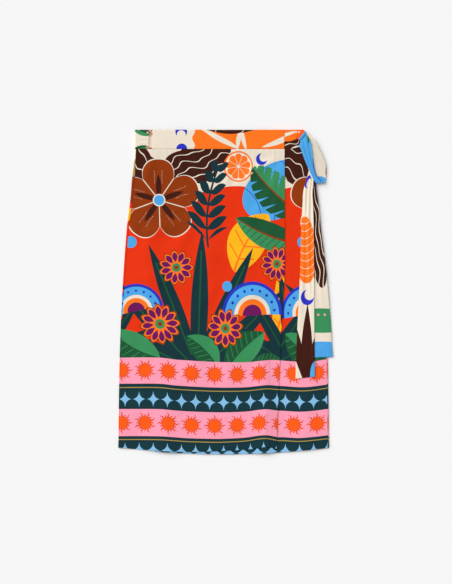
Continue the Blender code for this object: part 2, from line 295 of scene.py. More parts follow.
def adding(operation: str, swapped: bool = False) -> Callable[..., "Signal"]:
    """Makes a method that adds a Math node, with the signal after the other value where they are swapped.

    Args:
        operation: what the node does.
        swapped: whether the signal comes second.

    Returns:
        The method.
    """

    def method(self: "Signal", *others: Given) -> "Signal":
        """Works out one Math node."""
        values = (*others, self) if swapped else (self, *others)
        return self.wires.node("Math", dict(enumerate(values)), operation=operation)[0]

    return method


@dataclass(frozen=True)
class Signal:
    """A value that changes over the surface, one socket of a node tree. Of masks, * is both and | either."""

    wires: "Wires"
    socket: bpy.types.NodeSocket

    __add__, __radd__ = adding("ADD"), adding("ADD", swapped=True)
    __sub__, __rsub__ = adding("SUBTRACT"), adding("SUBTRACT", swapped=True)
    __mul__, __rmul__ = adding("MULTIPLY"), adding("MULTIPLY", swapped=True)
    __truediv__, __pow__, __abs__ = adding("DIVIDE"), adding("POWER"), adding("ABSOLUTE")
    __lt__, __gt__, __or__ = adding("LESS_THAN"), adding("GREATER_THAN"), adding("MAXIMUM")
    sine, cosine, root = adding("SINE"), adding("COSINE"), adding("SQRT")
    fraction, angle = adding("FRACT"), adding("ARCTAN2")

    def centred(self) -> "Signal":
        """How far from the middle of its whole step, from -0.5 to 0.5."""
        return self.fraction() - 0.5

    def split(self) -> list["Signal"]:
        """A vector's X and Y."""
        return self.wires.node("SeparateXYZ", {0: self})[:2]

    def noise(self, scale: float) -> "Signal":
        """A smooth noise from 0 to 1 over this vector."""
        return self.wires.node("TexNoise", {"Vector": self, "Scale": scale})[0]

    def placed(self, place: tuple[float, float], turn: float, size: tuple[float, float]) -> "Signal":
        """This vector in the frame of something small.

        Args:
            place: where the small frame's origin lies.
            turn: the small frame's turn, in degrees.
            size: its unit in X and in Y.

        Returns:
            The vector in the small frame.
        """
        frame_of = {"Location": (*place, 0), "Rotation": (0, 0, math.radians(turn)), "Scale": (*size, 1)}
        return self.wires.node("Mapping", {"Vector": self, **frame_of}, vector_type="TEXTURE")[0]

    def paint(self, under: Given, over: Given) -> "Signal":
        """One colour over another where this mask holds."""
        return self.wires.node("Mix", {0: self, 6: under, 7: over}, data_type="RGBA")[2]


def painted(colour: Given, layers: Layers) -> Given:
    """A colour with layers painted on it, each a mask and its ink.

    Args:
        colour: the colour under them.
        layers: the layers, the lowest first.

    Returns:
        The painted colour.
    """
    for mask, ink in layers:
        colour = mask.paint(colour, ink)
    return colour


@dataclass(frozen=True)
class Wires:
    """A node tree that is being wired. Nodes are added in the order in which they are worked out."""

    tree: bpy.types.NodeTree

    def feed(self, socket: bpy.types.NodeSocket, value: Given) -> None:
        """Links a signal to a socket, or sets a plain value on it.

        Args:
            socket: the socket.
            value: a signal, an ink or a plain value.
        """
        if isinstance(value, Signal):
            self.tree.links.new(value.socket, socket)
        else:
            socket.default_value = value.linear if isinstance(value, Ink) else value

    def node(self, kind: str, inputs: dict[Union[int, str], Given], **settings: object) -> list[Signal]:
        """Adds a node.

        Args:
            kind: its type, without the ShaderNode in front.
            inputs: what goes into its sockets.
            settings: what to set on it.

        Returns:
            What comes out of each of its sockets.
        """
        node = self.tree.nodes.new("ShaderNode" + kind)
        for name, value in settings.items():
            setattr(node, name, value)
        for key, value in inputs.items():
            self.feed(node.inputs[key], value)
        return [Signal(self, socket) for socket in node.outputs]

    def shade(self, values: dict[str, Given]) -> None:
        """Feeds the sockets of a material's own shader."""
        for name, value in values.items():
            self.feed(self.tree.nodes["Principled BSDF"].inputs[name], value)


class Effect:
    """A shader effect that several materials use, kept as one node group with named sockets."""

    takes: dict[str, Optional[float]] = {}  # its inputs and what they start with, None for a vector
    gives: tuple[str, ...] = ()  # its outputs, all numbers but Color

    def wire(self, *given: Signal) -> Iterable[Given]:
        """Wires the inside.

        Args:
            given: its inputs in their order.

        Returns:
            Its outputs in theirs.
        """
        raise NotImplementedError

    def tree(self) -> bpy.types.NodeTree:
        """The node group, made the first time it is asked for.

        Returns:
            The node group.
        """
        name = type(self).__name__
        if name in bpy.data.node_groups:
            return bpy.data.node_groups[name]
        tree = bpy.data.node_groups.new(name, "ShaderNodeTree")
        for port, start in self.takes.items():
            kind = "NodeSocketVector" if start is None else "NodeSocketFloat"
            socket = tree.interface.new_socket(port, in_out="INPUT", socket_type=kind)
            if start is not None:
                socket.default_value = start
        for port in self.gives:
            kind = "NodeSocketColor" if port == "Color" else "NodeSocketFloat"
            tree.interface.new_socket(port, in_out="OUTPUT", socket_type=kind)
        wires, inner = Wires(tree), tree.nodes.new("NodeGroupInput").outputs
        results = self.wire(*(Signal(wires, inner[port]) for port in self.takes))
        outer = tree.nodes.new("NodeGroupOutput").inputs
        for port, result in zip(self.gives, results):
            wires.feed(outer[port], result)
        return tree

    def use(self, at: Signal, **given: Given) -> list[Signal]:
        """Places the group in a tree.

        Args:
            at: its first input, in the tree that uses it.
            given: values for others of its inputs.

        Returns:
            Its outputs in their order.
        """
        return at.wires.node("Group", {0: at, **given}, node_tree=self.tree())


# --- What is printed on the cloth ---


class Leaf(Effect):
    """A leaf along X from its base at 0 to its tip at 1, with midrib, side veins and slits from its edge."""

    takes = {"At": None, "Width": 0.2, "Bend": 0.0, "Full": 0.8, "Veins": 9.0, "Slits": 0.0}
    gives = ("Body", "Half", "Vein", "Rib")
    slant = 0.55  # how far its veins and slits lean towards the tip
    slit_from, least = 0.35, 0.001
    vein_at, vein_reach = 0.445, 0.84
    rib_half, rib_taper, rib_end = 0.013, 1.3, 0.94

    def wire(self, *given: Signal) -> Iterable[Given]:
        """Draws the outline as a bow on both sides of the midrib.

        Args:
            given: its inputs in their order.

        Returns:
            Its outputs in theirs.
        """
        at, width, bend, full, veins, slits = given
        x, y = at.split()
        bow = 4 * x * (1 - x) | 0.0
        off = y - bend * bow
        side = abs(off)
        edge = width * bow**full
        step = ((x - self.slant * side) * veins).centred()
        slit = abs(step) < (side / (edge + self.least) - self.slit_from) * slits
        body = (side < edge) * (1 - slit)
        vein = (abs(step) > self.vein_at) * (side < edge * self.vein_reach)
        rib = (side < self.rib_half * (self.rib_taper - x)) * (x < self.rib_end)
        return body, body * (off > 0.0), vein * body, rib * body


class Frond(Effect):
    """A sprig along X from 0 to 1: a stem with slanted pointed leaflets on both sides."""

    takes = {"At": None, "Width": 0.3, "Bend": 0.0, "Leaflets": 7.0}
    gives = ("Body",)
    slant, plump, first = 0.75, 1.75, 0.08
    widest, taper, least = 1.12, 0.75, 0.01
    stem_half, stem_end = 0.012, 0.98

    def wire(self, *given: Signal) -> Iterable[Given]:
        """Draws each leaflet as a bow across its own step along the stem.

        Args:
            given: its inputs in their order.

        Returns:
            Its outputs in theirs.
        """
        at, width, bend, leaflets = given
        x, y = at.split()
        side = abs(y - bend * 4 * x * (1 - x))
        root = x - self.slant * side
        out = side / (width * (self.widest - self.taper * root) | self.least)
        leaflet = abs((root * leaflets).centred()) < self.plump * out * (1 - out)
        stem = (side < self.stem_half) * (x > 0.0) * (x < self.stem_end)
        return (leaflet * (root > self.first) * (root < 1.0) | stem,)


class Fan(Effect):
    """A palm's fan: pointed blades from one root at the origin, the middle one 1 long, towards X."""

    takes = {"At": None, "Blades": 7.0, "Spread": 2.6, "Width": 0.11}
    gives = ("Body", "Rib")
    shortest = 0.62  # how long a blade at a right angle to the middle one is
    plump, blunt, root = 3.2, 0.8, 0.02
    rib_half, rib_start, rib_end = 0.006, 0.12, 0.85

    def wire(self, *given: Signal) -> Iterable[Given]:
        """Draws each blade as a bow about its own direction.

        Args:
            given: its inputs in their order.

        Returns:
            Its outputs in theirs.
        """
        at, blades, spread, width = given
        x, y = at.split()
        turn, far = y.angle(x), (x * x + y * y).root()
        step = (turn / spread * blades + 0.5).centred()
        along = far / (self.shortest + (1 - self.shortest) * turn.cosine())
        side = abs(step) * spread / blades * far
        blade = side < width * self.plump * (along + self.root) ** self.blunt * (1 - along)
        inside = (abs(turn) < spread / 2) * (along < 1.0)
        rib = (side < self.rib_half) * (along < self.rib_end) * (along > self.rib_start)
        return blade * inside, rib * inside


class Bloom(Effect):
    """A round flower of radius 1: how far out a point is, as a share of it and plainly, and off its petal."""

    takes = {"At": None, "Petals": 5.0, "Inner": 0.6, "Round": 2.0}
    gives = ("Share", "Radius", "Petal")

    def wire(self, *given: Signal) -> Iterable[Given]:
        """Measures a point against the petals' rounded ends.

        Args:
            given: its inputs in their order.

        Returns:
            Its outputs in theirs.
        """
        at, petals, inner, rounded = given
        x, y = at.split()
        radius = (x * x + y * y).root()
        petal = (y.angle(x) / (2 * math.pi) * petals + 0.5).centred()
        edge = 1 - (1 - inner) * (2 * abs(petal)) ** rounded
        return radius / edge, radius, abs(petal)


class Wavy(Effect):
    """Long wavy lines along X, one for each step of Y, like combed strands."""

    takes = {"At": None, "Lines": 5.0, "Wave": 0.25, "Thick": 0.09}
    gives = ("Line",)
    slow, quick, drift, quick_share = 7.0, 15.0, 5.0, 0.5

    def wire(self, *given: Signal) -> Iterable[Given]:
        """Bends the steps of Y with two sine waves.

        Args:
            given: its inputs in their order.

        Returns:
            Its outputs in theirs.
        """
        at, lines, wave, thick = given
        x, y = at.split()
        second = self.quick_share * (x * self.quick + y * self.drift).sine()
        bent = y * lines + wave * ((x * self.slow).sine() + second)
        return (abs(bent.centred()) < thick,)


class Border(Effect):
    """The hem's border, in millimetres above it: pink bands of suns, dark ones of stars, fine ochre lines."""

    takes = {"Cloth": None}
    gives = ("Color", "Inside")

    top = 198.0
    bands = ((140.6, 198.0), (25.3, 84.9))
    sun_rows = (170.0, 54.7)
    sun_pitch, sun_phase, sun_body, sun_rays = 51.0, 5.6, 12.0, 16
    ray_reach, ray_swing = 21.6, 2.9  # how far the rays go, and how much further each second one does
    ray_taper, ray_tip = 2.3, 0.65  # how much a ray narrows, and half its width at its end
    ray_bend, ray_bends = 0.06, 0.75
    star_rows = (106.7, -5.5)
    star_pitch, star_half, star_neck, star_gap = 30.95, 16.5, -0.05, 0.3
    line_rows = (132.2, 17.8)
    line_half = 0.95

    def suns(self, x: Signal, up: Signal) -> Layers:
        """A row of suns with wavy rays, long and short ones in turn, and the other way about on the next sun.

        Args:
            x: across the cloth.
            up: above the suns' middles.

        Returns:
            The rays and the discs.
        """
        step = (x - self.sun_phase) / self.sun_pitch
        across = step.centred() * self.sun_pitch
        swing = self.ray_swing - 2 * self.ray_swing * ((step / 2).fraction() < 0.5)
        turn, far = up.angle(across), (across * across + up * up).root()
        reach = self.ray_reach + swing * (turn * (self.sun_rays / 2)).cosine()
        waved = turn + self.ray_bend * (far * self.ray_bends).sine()
        ray = abs((waved / (2 * math.pi) * self.sun_rays + 0.5).centred()) * (2 * math.pi / self.sun_rays)
        past = (far - self.sun_body) / (reach - self.sun_body)
        rays = (ray * far < self.ray_taper * (1 - past) + self.ray_tip) * (far < reach)
        return (rays, Ink.RAY), (far < self.sun_body, Ink.SUN)

    def stars(self, x: Signal, up: Signal) -> Layers:
        """A row of four-pointed stars, as what is left between scallops above and below.

        Args:
            x: across the cloth.
            up: above the stars' middles.

        Returns:
            The scallops and the stars.
        """
        across = (x / self.star_pitch).centred() * (self.star_pitch / (self.star_pitch / 2 - self.star_gap))
        inward = self.star_half - abs(up)
        deep = inward / (self.star_half - self.star_neck)
        scallop = across * across + deep * deep < 1.0
        inside = inward > 0.0
        return (inside * scallop, Ink.SCALLOP), (inside * (1 - scallop), Ink.STAR)

    def wire(self, *given: Signal) -> Iterable[Given]:
        """Lays the bands on the dark ground, then what stands on them.

        Args:
            given: its inputs in their order.

        Returns:
            Its outputs in theirs.
        """
        x, y = given[0].split()
        colour = painted(Ink.TEAL, [((y > low) * (y < high), Ink.PINK) for low, high in self.bands])
        for row in self.sun_rows:
            colour = painted(colour, self.suns(x, y - row))
        for row in self.star_rows:
            colour = painted(colour, self.stars(x, y - row))
        colour = painted(colour, [(abs(y - row) < self.line_half, Ink.OCHRE) for row in self.line_rows])
        return colour, y < self.top


class Kind(Enum):
    """What a motif is, each with the name of the method that draws it."""

    LEAF = "leaf"
    SLIT_LEAF = "slit_leaf"
    FROND = "frond"
    FAN = "fan"
    BLOSSOM = "blossom"
    DAISY = "daisy"
    SLICE = "slice"
    ARCH = "arch"
    PEBBLE = "pebble"
    CRESCENT = "crescent"
    STRANDS = "strands"


GROWING = (Kind.LEAF, Kind.SLIT_LEAF, Kind.FROND, Kind.FAN)  # those whose unit is their length both ways
ARCH_EDGES = (1.0, 0.9, 0.6, 0.48, 0.32)  # the outer edge of each of an arch's rings
DOTS_AT, DOT_HALF = 0.75, 0.045  # where an arch's dots lie, and their size
FAR = 1e4  # past all the cloth


class Motif(NamedTuple):
    """One printed motif, in millimetres and degrees. Count is its petals, blades, veins or lines."""

    kind: Kind
    inks: tuple[Ink, ...]
    x: float
    y: float
    turn: float
    length: float
    width: float
    count: float = 0.0
    bend: float = 0.0

    def layers(self, cloth: Signal, repeat: float) -> Layers:
        """What is painted for it, in its own frame whose unit is its length.

        Args:
            cloth: the flat cloth.
            repeat: how far across it the print comes again.

        Returns:
            Each mask with its ink, the lowest first.
        """
        ends = {1: (self.x + repeat / 2, FAR, 1), 2: (self.x - repeat / 2, -FAR, -1)}
        near = cloth.wires.node("VectorMath", {0: cloth, **ends}, operation="WRAP")[0]
        size = (self.length, self.length if self.kind in GROWING else self.width)
        return getattr(self, self.kind.value)(near.placed((self.x, self.y), self.turn, size))

    @property
    def slim(self) -> float:
        """Its width as a share of its length."""
        return self.width / self.length

    def leaf(self, at: Signal) -> Layers:
        """A smooth leaf in two tones with its veins and midrib."""
        return zip(Leaf().use(at, Width=self.slim, Bend=self.bend, Veins=self.count), self.inks)

    def slit_leaf(self, at: Signal) -> Layers:
        """A broad leaf with slits from its edge and a pale midrib.

        Args:
            at: the flat cloth, in the motif's own frame.

        Returns:
            Each mask with its ink, the lowest first.
        """
        shape = {"Width": self.slim, "Bend": self.bend, "Veins": self.count, "Full": 0.6, "Slits": 0.26}
        body, half, _, rib = Leaf().use(at, **shape)
        return zip((body, half, rib), self.inks)

    def frond(self, at: Signal) -> Layers:
        """A sprig in one colour."""
        return zip(Frond().use(at, Width=self.slim, Bend=self.bend, Leaflets=self.count), self.inks)

    def fan(self, at: Signal) -> Layers:
        """A palm's fan with a fine line down each blade."""
        return zip(Fan().use(at, Width=self.slim, Spread=self.bend, Blades=self.count), self.inks)

    def blossom(self, at: Signal) -> Layers:
        """A large round-petalled flower with pale outlines, dark streaks and an eye.

        Args:
            at: the flat cloth, in the motif's own frame.

        Returns:
            Each mask with its ink, the lowest first.
        """
        inner, streak_half, ring_edge, eye_edge = 0.62, 0.34, 0.15, 0.12
        line, fine = 1.6 / self.length, 0.07
        vein_at, vein_wave, vein_step, vein_start, vein_end = 0.16, 0.05, 7.0, 0.4, 0.72
        share, radius, petal = Bloom().use(at, Petals=self.count, Inner=inner, Round=2.6)
        body, streak, outline, eye = self.inks
        vein = abs(petal - vein_at - vein_wave * (radius * vein_step).sine()) * radius < line * fine
        return (
            (share < 1.0, outline),
            ((share < 1 - 1.5 * line) * (petal * radius < 0.5 * radius - line / 2), body),
            (petal < streak_half * (1 - share / inner), streak),
            (vein * (radius > vein_start) * (radius < vein_end), outline),
            (radius < ring_edge, outline),
            (radius < eye_edge, eye),
        )

    def daisy(self, at: Signal) -> Layers:
        """A small many-petalled flower, each petal with a dark heart.

        Args:
            at: the flat cloth, in the motif's own frame.

        Returns:
            Each mask with its ink, the lowest first.
        """
        share, radius, petal = Bloom().use(at, Petals=self.count, Inner=0.72, Round=1.6)
        edge, rim, heart, middle = self.inks
        rim_edge, middle_edge, eye_edge = 0.93, 0.24, 0.11
        heart_start, heart_length, heart_plump, heart_end = 0.3, 0.52, 1.5, 1.06
        along = (radius - heart_start) / heart_length
        hearts = petal < heart_plump * along * (heart_end - along)
        petals = (share < 1.0, edge), (share < rim_edge, rim), (hearts, heart)
        return *petals, (radius < middle_edge, middle), (radius < eye_edge, edge)

    def slice(self, at: Signal) -> Layers:
        """A slice of fruit with its rind, pith and segments.

        Args:
            at: the flat cloth, in the motif's own frame.

        Returns:
            Each mask with its ink, the lowest first.
        """
        _, radius, petal = Bloom().use(at, Petals=self.count, Inner=1.0, Round=1.0)
        rind, pith = self.inks
        rind_edge, wedge_edge, core, gap = 0.9, 0.83, 0.1, 0.02
        wedge = (radius < wedge_edge - 0.5 * petal * petal) * (petal * radius < 0.5 * radius - gap)
        return (radius < 1.0, rind), (radius < rind_edge, pith), ((radius > core) * wedge, rind)

    def arch(self, at: Signal) -> Layers:
        """Half rings, one inside the other, with dots round the outer one.

        Args:
            at: the flat cloth, in the motif's own frame.

        Returns:
            Each mask with its ink, the lowest first.
        """
        x, y = at.split()
        radius, over = Bloom().use(at, Inner=1.0)[1], y > 0.0
        rings = [((radius < edge) * over, ink) for edge, ink in zip(ARCH_EDGES, self.inks)]
        out = (radius - DOTS_AT) / DOT_HALF
        along = (y.angle(x) * (self.count / math.pi)).centred() * (math.pi / self.count * DOTS_AT / DOT_HALF)
        return [*rings, ((out * out + along * along < 1.0) * over, self.inks[0])]

    def pebble(self, at: Signal) -> Layers:
        """A disc, with fine curved lines across it where it has a count of them.

        Args:
            at: the flat cloth, in the motif's own frame.

        Returns:
            Each mask with its ink, the lowest first.
        """
        x, y = at.split()
        body = x * x + y * y < 1.0
        if not self.count:
            return [(body, self.inks[0])]
        bow, line_half = 0.28, 0.035
        line = abs(((x + bow * y * y) * self.count).centred()) < line_half * self.count / 4
        return zip((body, body * line), self.inks)

    def crescent(self, at: Signal) -> Layers:
        """A thin moon.

        Args:
            at: the flat cloth, in the motif's own frame.

        Returns:
            Each mask with its ink, the lowest first.
        """
        x, y = at.split()
        off, bite = 0.5, 0.56  # where the disc that is taken out of it lies, and its radius squared
        inner = (x - off) * (x - off) + y * y < bite
        return [((x * x + y * y < 1.0) * (1 - inner), self.inks[0])]

    def strands(self, at: Signal) -> Layers:
        """A lobed shape with wavy pale lines along it.

        Args:
            at: the flat cloth, in the motif's own frame.

        Returns:
            Each mask with its ink, the lowest first.
        """
        line_half = 0.95
        body = Bloom().use(at, Petals=self.bend, Inner=0.88, Round=2.0)[0] < 1.0
        (line,) = Wavy().use(at, Lines=self.count, Wave=0.3, Thick=line_half * self.count / self.width)
        return zip((body, body * line), self.inks)


def many(kind: Kind, inks: Sequence[Ink], *places: tuple[float, ...]) -> list[Motif]:
    """Motifs of one kind in the same inks."""
    return [Motif(kind, tuple(inks), *place) for place in places]


COMBED = (Ink.DARK_BROWN, Ink.CREAM)
BLADE = (Ink.GREEN, Ink.DARK_GREEN)
PALM = (Ink.TEAL, Ink.DARK_GREEN)
GOLDEN = (Ink.YELLOW, Ink.YELLOW, Ink.ORANGE, Ink.ORANGE)
DAISY = (Ink.BROWN, Ink.ORANGE, Ink.PURPLE, Ink.GREEN)
ARCH = (Ink.ROYAL, Ink.SKY, Ink.CREAM, Ink.ORANGE, Ink.PURPLE)
# where each stretch of the tie begins on the ties' print
FRONT_AT, BACK_AT, LOOP_AT, KNOT_AT = 1000.0, 2000.0, 3000.0, 3400.0


class Print(Effect):
    """A print of motifs on a ground, in millimetres of flat cloth, which repeats across."""

    takes = {"Cloth": None}
    gives = ("Color",)
    repeat = 460.0
    motifs: tuple[Motif, ...] = ()

    def ground(self, cloth: Signal) -> Given:
        """The colour under the motifs."""
        return Ink.CREAM

    def over(self, cloth: Signal, colour: Given) -> Given:
        """What is printed over the motifs."""
        return colour

    def wire(self, *given: Signal) -> Iterable[Given]:
        """Paints the ground, then the motifs in their order.

        Args:
            given: its inputs in their order.

        Returns:
            Its outputs in theirs.
        """
        colour = self.ground(given[0])
        for motif in self.motifs:
            colour = painted(colour, motif.layers(given[0], self.repeat))
        return (self.over(given[0], colour),)


class SkirtPrint(Print):
    """The panels' print: leaves, palms, flowers and fruit on cream and red, with the border along the hem."""

    line_y, line_wave = 566.0, 9.0  # where the cream ground gives way to red, above the hem
    line_waves, line_phase = 2, 0.8
    motifs = (
        *many(Kind.STRANDS, COMBED, (-200, 618, -40, 84, 50, 2.2, 7), (-66, 622, 24, 90, 46, 2.6, 9)),
        *many(Kind.PEBBLE, (Ink.SKY, Ink.ROYAL), (126, 566, 28, 88, 60, 2.4)),
        *many(Kind.BLOSSOM, (Ink.BROWN, Ink.DARK_BROWN, Ink.CREAM, Ink.SKY), (-142, 544, 20, 92, 92, 5)),
        *many(Kind.SLICE, (Ink.ORANGE, Ink.CREAM), (34, 618, 10, 34, 34, 9)),
        *many(Kind.LEAF, GOLDEN, (24, 386, 58, 150, 44, 5, 0.07), (118, 250, 82, 168, 26, 6, -0.08)),
        *many(Kind.FAN, PALM, (-58, 178, 88, 300, 20, 7, 2.9), (168, 172, 100, 220, 16, 7, 2.7)),
        *many(Kind.SLIT_LEAF, (*BLADE, Ink.BROWN), (186, 508, 138, 160, 42, 7, 0.04)),
        *many(Kind.LEAF, (*BLADE[::-1], Ink.DARK_GREEN, Ink.BROWN), (190, 446, 160, 172, 30, 12, 0.06)),
        *many(Kind.FROND, (Ink.TEAL,), (-34, 440, 82, 186, 46, 7, 0.07)),
        *many(Kind.ARCH, ARCH, (66, 296, 0, 70, 70, 9), (-192, 300, 12, 60, 60, 8)),
        *many(Kind.DAISY, DAISY, (-104, 396, 0, 40, 40, 11), (124, 404, 8, 40, 40, 12)),
        *many(Kind.LEAF, BLADE * 2, (-140, 196, 150, 120, 34, 8, 0.08), (6, 180, 42, 118, 34, 8, 0.08)),
        *many(Kind.LEAF, BLADE * 2, (-12, 184, 136, 96, 28, 8, -0.08), (60, 188, 8, 76, 17, 8, 0.06)),
        *many(Kind.DAISY, DAISY, (4, 270, 8, 42, 42, 11), (-140, 272, 8, 46, 46, 12)),
        *many(Kind.CRESCENT, (Ink.ROYAL,), (88, 634, 40, 13, 13)),
        *many(Kind.PEBBLE, (Ink.SKY,), (-204, 452, 0, 13, 13), (8, 356, 0, 11, 11)),
        # down the side seams
        *many(Kind.PEBBLE, (Ink.OCHRE,), (194, 612, 90, 24, 8)),
        *many(Kind.PEBBLE, (Ink.BROWN,), (202, 566, 90, 31, 12)),
        *many(Kind.PEBBLE, (Ink.YELLOW,), (209, 512, 90, 15, 6)),
    )

    def ground(self, cloth: Signal) -> Given:
        """Cream above a low wavy line, red below it.

        Args:
            cloth: the flat cloth.

        Returns:
            The ground's colour.
        """
        x, y = cloth.split()
        wave = self.line_wave * (x * (2 * math.pi / self.repeat * self.line_waves) + self.line_phase).sine()
        return (y > self.line_y + wave).paint(Ink.RED, Ink.CREAM)

    def over(self, cloth: Signal, colour: Given) -> Given:
        """The border covers the field's lowest part."""
        border, inside = Border().use(cloth)
        return inside.paint(colour, border)


class BandPrint(Print):
    """The waistbands' cut of the print, up from the seam: cream and orange, and dark brown from 60 mm up."""

    turn_x = -66.0  # cream left of it, orange right
    turn_wave, turn_step = 3.0, 0.2
    dark_y = 60.0
    combed_turn, combed_size = 24, (60, 60)
    motifs = (
        *many(Kind.CRESCENT, (Ink.ROYAL,), (-93, 38, -90, 13, 13)),
        *many(Kind.PEBBLE, (Ink.ROYAL,), (-92, 0, 0, 12, 12)),
        *many(Kind.LEAF, (Ink.CREAM,), (-50, 44, -28, 96, 7, 1, 0.05), (50, -3, 100, 58, 4.5, 1, 0.03)),
        *many(Kind.LEAF, (Ink.CREAM,), (84, 4, 24, 92, 6, 1, -0.04), (30, -2, 82, 60, 5, 1, 0.02)),
        # beside the knot: the end of the over front's tie, and the under front's band behind it
        *many(Kind.PEBBLE, (Ink.SUN,), (176, 20, 0, 15, 40)),
        *many(Kind.PEBBLE, (Ink.ORANGE,), (150, 112, 0, 40, 13)),
        *many(Kind.PEBBLE, (Ink.SUN,), (172, 112, 0, 12, 16)),
        *many(Kind.LEAF, (Ink.CREAM,), (148, 67, 14, 24, 1.8, 1, 0.05)),
    )

    def ground(self, cloth: Signal) -> Given:
        """The three grounds, with combed pale lines on the dark one.

        Args:
            cloth: the flat cloth.

        Returns:
            The ground's colour.
        """
        x, y = cloth.split()
        turned = x > self.turn_x + self.turn_wave * (y * self.turn_step).sine()
        colour = turned.paint(Ink.CREAM, Ink.ORANGE)
        dark = y > self.dark_y
        combed = cloth.placed((0, 0), self.combed_turn, self.combed_size)
        (line,) = Wavy().use(combed, Lines=2.6, Wave=0.2, Thick=0.035)
        return painted(colour, ((dark, Ink.DARK_BROWN), (dark * line, Ink.CREAM)))


class TiePrint(Print):
    """The ties' cut of the print: X runs along a tie and Y across it."""

    repeat = 4000.0
    motifs = (
        # at the slit
        *many(Kind.LEAF, BLADE, (-10, 11, 20, 52, 8, 6, -0.06), (-1, -16, -13, 40, 5, 6, 0.05)),
        *many(Kind.PEBBLE, (Ink.PINK,), (3, 15, 20, 3, 1.8)),
        *many(Kind.PEBBLE, (Ink.SALMON,), (-4, 13, 104, 9, 2.4), (0, -5, 92, 12, 0.9), (0, -18, 14, 7, 2.4)),
        # across the back
        *many(Kind.STRANDS, COMBED, (116, 0, 3, 70, 30, 3.2, 7)),
        *many(Kind.CRESCENT, (Ink.ROYAL,), (206, -4, 60, 13, 13)),
        *many(Kind.PEBBLE, (Ink.ORANGE, Ink.CREAM), (276, 3, -4, 50, 26, 4.5)),
        *many(Kind.LEAF, BLADE, (336, -10, 14, 50, 9, 6, 0.05)),
        # the front tail
        *many(Kind.CRESCENT, (Ink.ROYAL,), (1112, -8, 60, 15, 15), (1366, 2, 140, 17, 17)),
        *many(Kind.PEBBLE, (Ink.ORANGE, Ink.CREAM), (1262, -5, 4, 74, 33, 4.5)),
        *many(Kind.FAN, (Ink.DARK_BROWN,), (1566, 3, 180, 186, 13, 3, 0.74)),
        *many(Kind.PEBBLE, (Ink.SKY,), (1540, 22, 0, 34, 12)),
        # the back tail
        *many(Kind.STRANDS, COMBED, (2212, 0, 3, 134, 46, 4.2, 9)),
        *many(Kind.PEBBLE, (Ink.GREEN,), (2418, 0, 0, 27, 70)),
        *many(Kind.PEBBLE, (Ink.PINK,), *((2405, 14 * n - 20, 0, 2.6, 2.6) for n in range(4))),
        *many(Kind.PEBBLE, (Ink.SKY,), (2510, 0, 0, 46, 90)),
        # the loop
        *many(Kind.PEBBLE, (Ink.SKY,), (3040, 0, 0, 96, 60)),
        *many(Kind.LEAF, BLADE, (3012, 19, -30, 18, 4, 6, 0.05)),
        # a royal-blue strip along the loop's right edge: painted shade, not print
        *many(Kind.LEAF, (Ink.ROYAL,), (3060, 19, -3, 56, 5, 6, 0.03)),
        *many(Kind.LEAF, (Ink.BROWN,), (3138, 19, 3, 20, 2.4, 1, 0.05)),
        # the knot's wrap
        *many(Kind.PEBBLE, (Ink.SKY,), (3431, 0, 0, 90, 60)),
        *many(Kind.PEBBLE, (Ink.SUN,), (3416, -12, 0, 60, 14)),
    )


class Weave(Effect):
    """A fine crepe weave in metres of cloth: thread height, and slow changes of tone and gloss."""

    takes = {"Cloth": None}
    gives = ("Height", "Tone", "Roughness")
    threads = 1800.0  # in a metre
    slubs = (60.0, 420.0, 0.0)
    wander_scale, wander_bend, cloud_scale = 900.0, 3.0, 14.0
    thread_height = 0.5
    slub_tone, cloud_tone, thread_tone = 0.12, 0.08, 0.05
    roughness, slub_roughness, cloud_roughness = 0.78, 0.12, 0.1

    def wire(self, *given: Signal) -> Iterable[Given]:
        """Crosses two rows of threads, and lets their thickness wander.

        Args:
            given: its inputs in their order.

        Returns:
            Its outputs in theirs.
        """
        (cloth,) = given
        wander = cloth.noise(self.wander_scale)
        bent = wander * self.wander_bend
        warp, weft = ((part * self.threads * (2 * math.pi) + bent).sine() for part in cloth.split())
        stretched = cloth.wires.node("VectorMath", {0: cloth, 1: self.slubs}, operation="MULTIPLY")[0]
        slub, cloudy = stretched.noise(1.0) - 0.5, cloth.noise(self.cloud_scale) - 0.5
        tone = 1 + (slub * self.slub_tone + cloudy * self.cloud_tone) + warp * weft * self.thread_tone
        rough = self.roughness + slub * self.slub_roughness + cloudy * self.cloud_roughness
        return warp * weft * self.thread_height + wander, tone, rough


# --- Finishes ---


def new_material(name: str) -> tuple[bpy.types.Material, Wires]:
    """A new material, and the wires of its nodes.

    Args:
        name: its name.

    Returns:
        The material and the wires.
    """
    material = bpy.data.materials.new(name)
    material.use_nodes = True
    return material, Wires(material.node_tree)


@dataclass(frozen=True)
class PrintedCloth:
    """A light printed crepe, cut from one of the prints."""

    name: str
    printed: Print
    shift: tuple[float, float] = (0.0, 0.0)
    fade: float = 0.0  # how much of the pale ground shows through, more on the reverse
    relief: float = 0.0001

    def material(self) -> bpy.types.Material:
        """The material, made the first time it is asked for.

        Returns:
            The material.
        """
        if self.name in bpy.data.materials:
            return bpy.data.materials[self.name]
        material, wires = new_material(self.name)
        cloth = wires.node("UVMap", {}, uv_map=CLOTH_MAP)[0]
        place = (self.shift[0] * MM, self.shift[1] * MM)
        (colour,) = self.printed.use(cloth.placed(place, 0, (MM, MM)))
        height, tone, roughness = Weave().use(cloth)
        if self.fade:
            colour = (tone * self.fade).paint(colour, Ink.CREAM)
        toned = wires.node("VectorMath", {0: colour, "Scale": tone}, operation="SCALE")[0]
        bump = wires.node("Bump", {"Strength": 0.5, "Distance": self.relief, "Height": height})[0]
        wires.shade({"Base Color": toned, "Roughness": roughness, "Normal": bump})
        wires.shade({"Specular IOR Level": 0.1, "Sheen Weight": 0.03, "Sheen Roughness": 0.45})
        return material


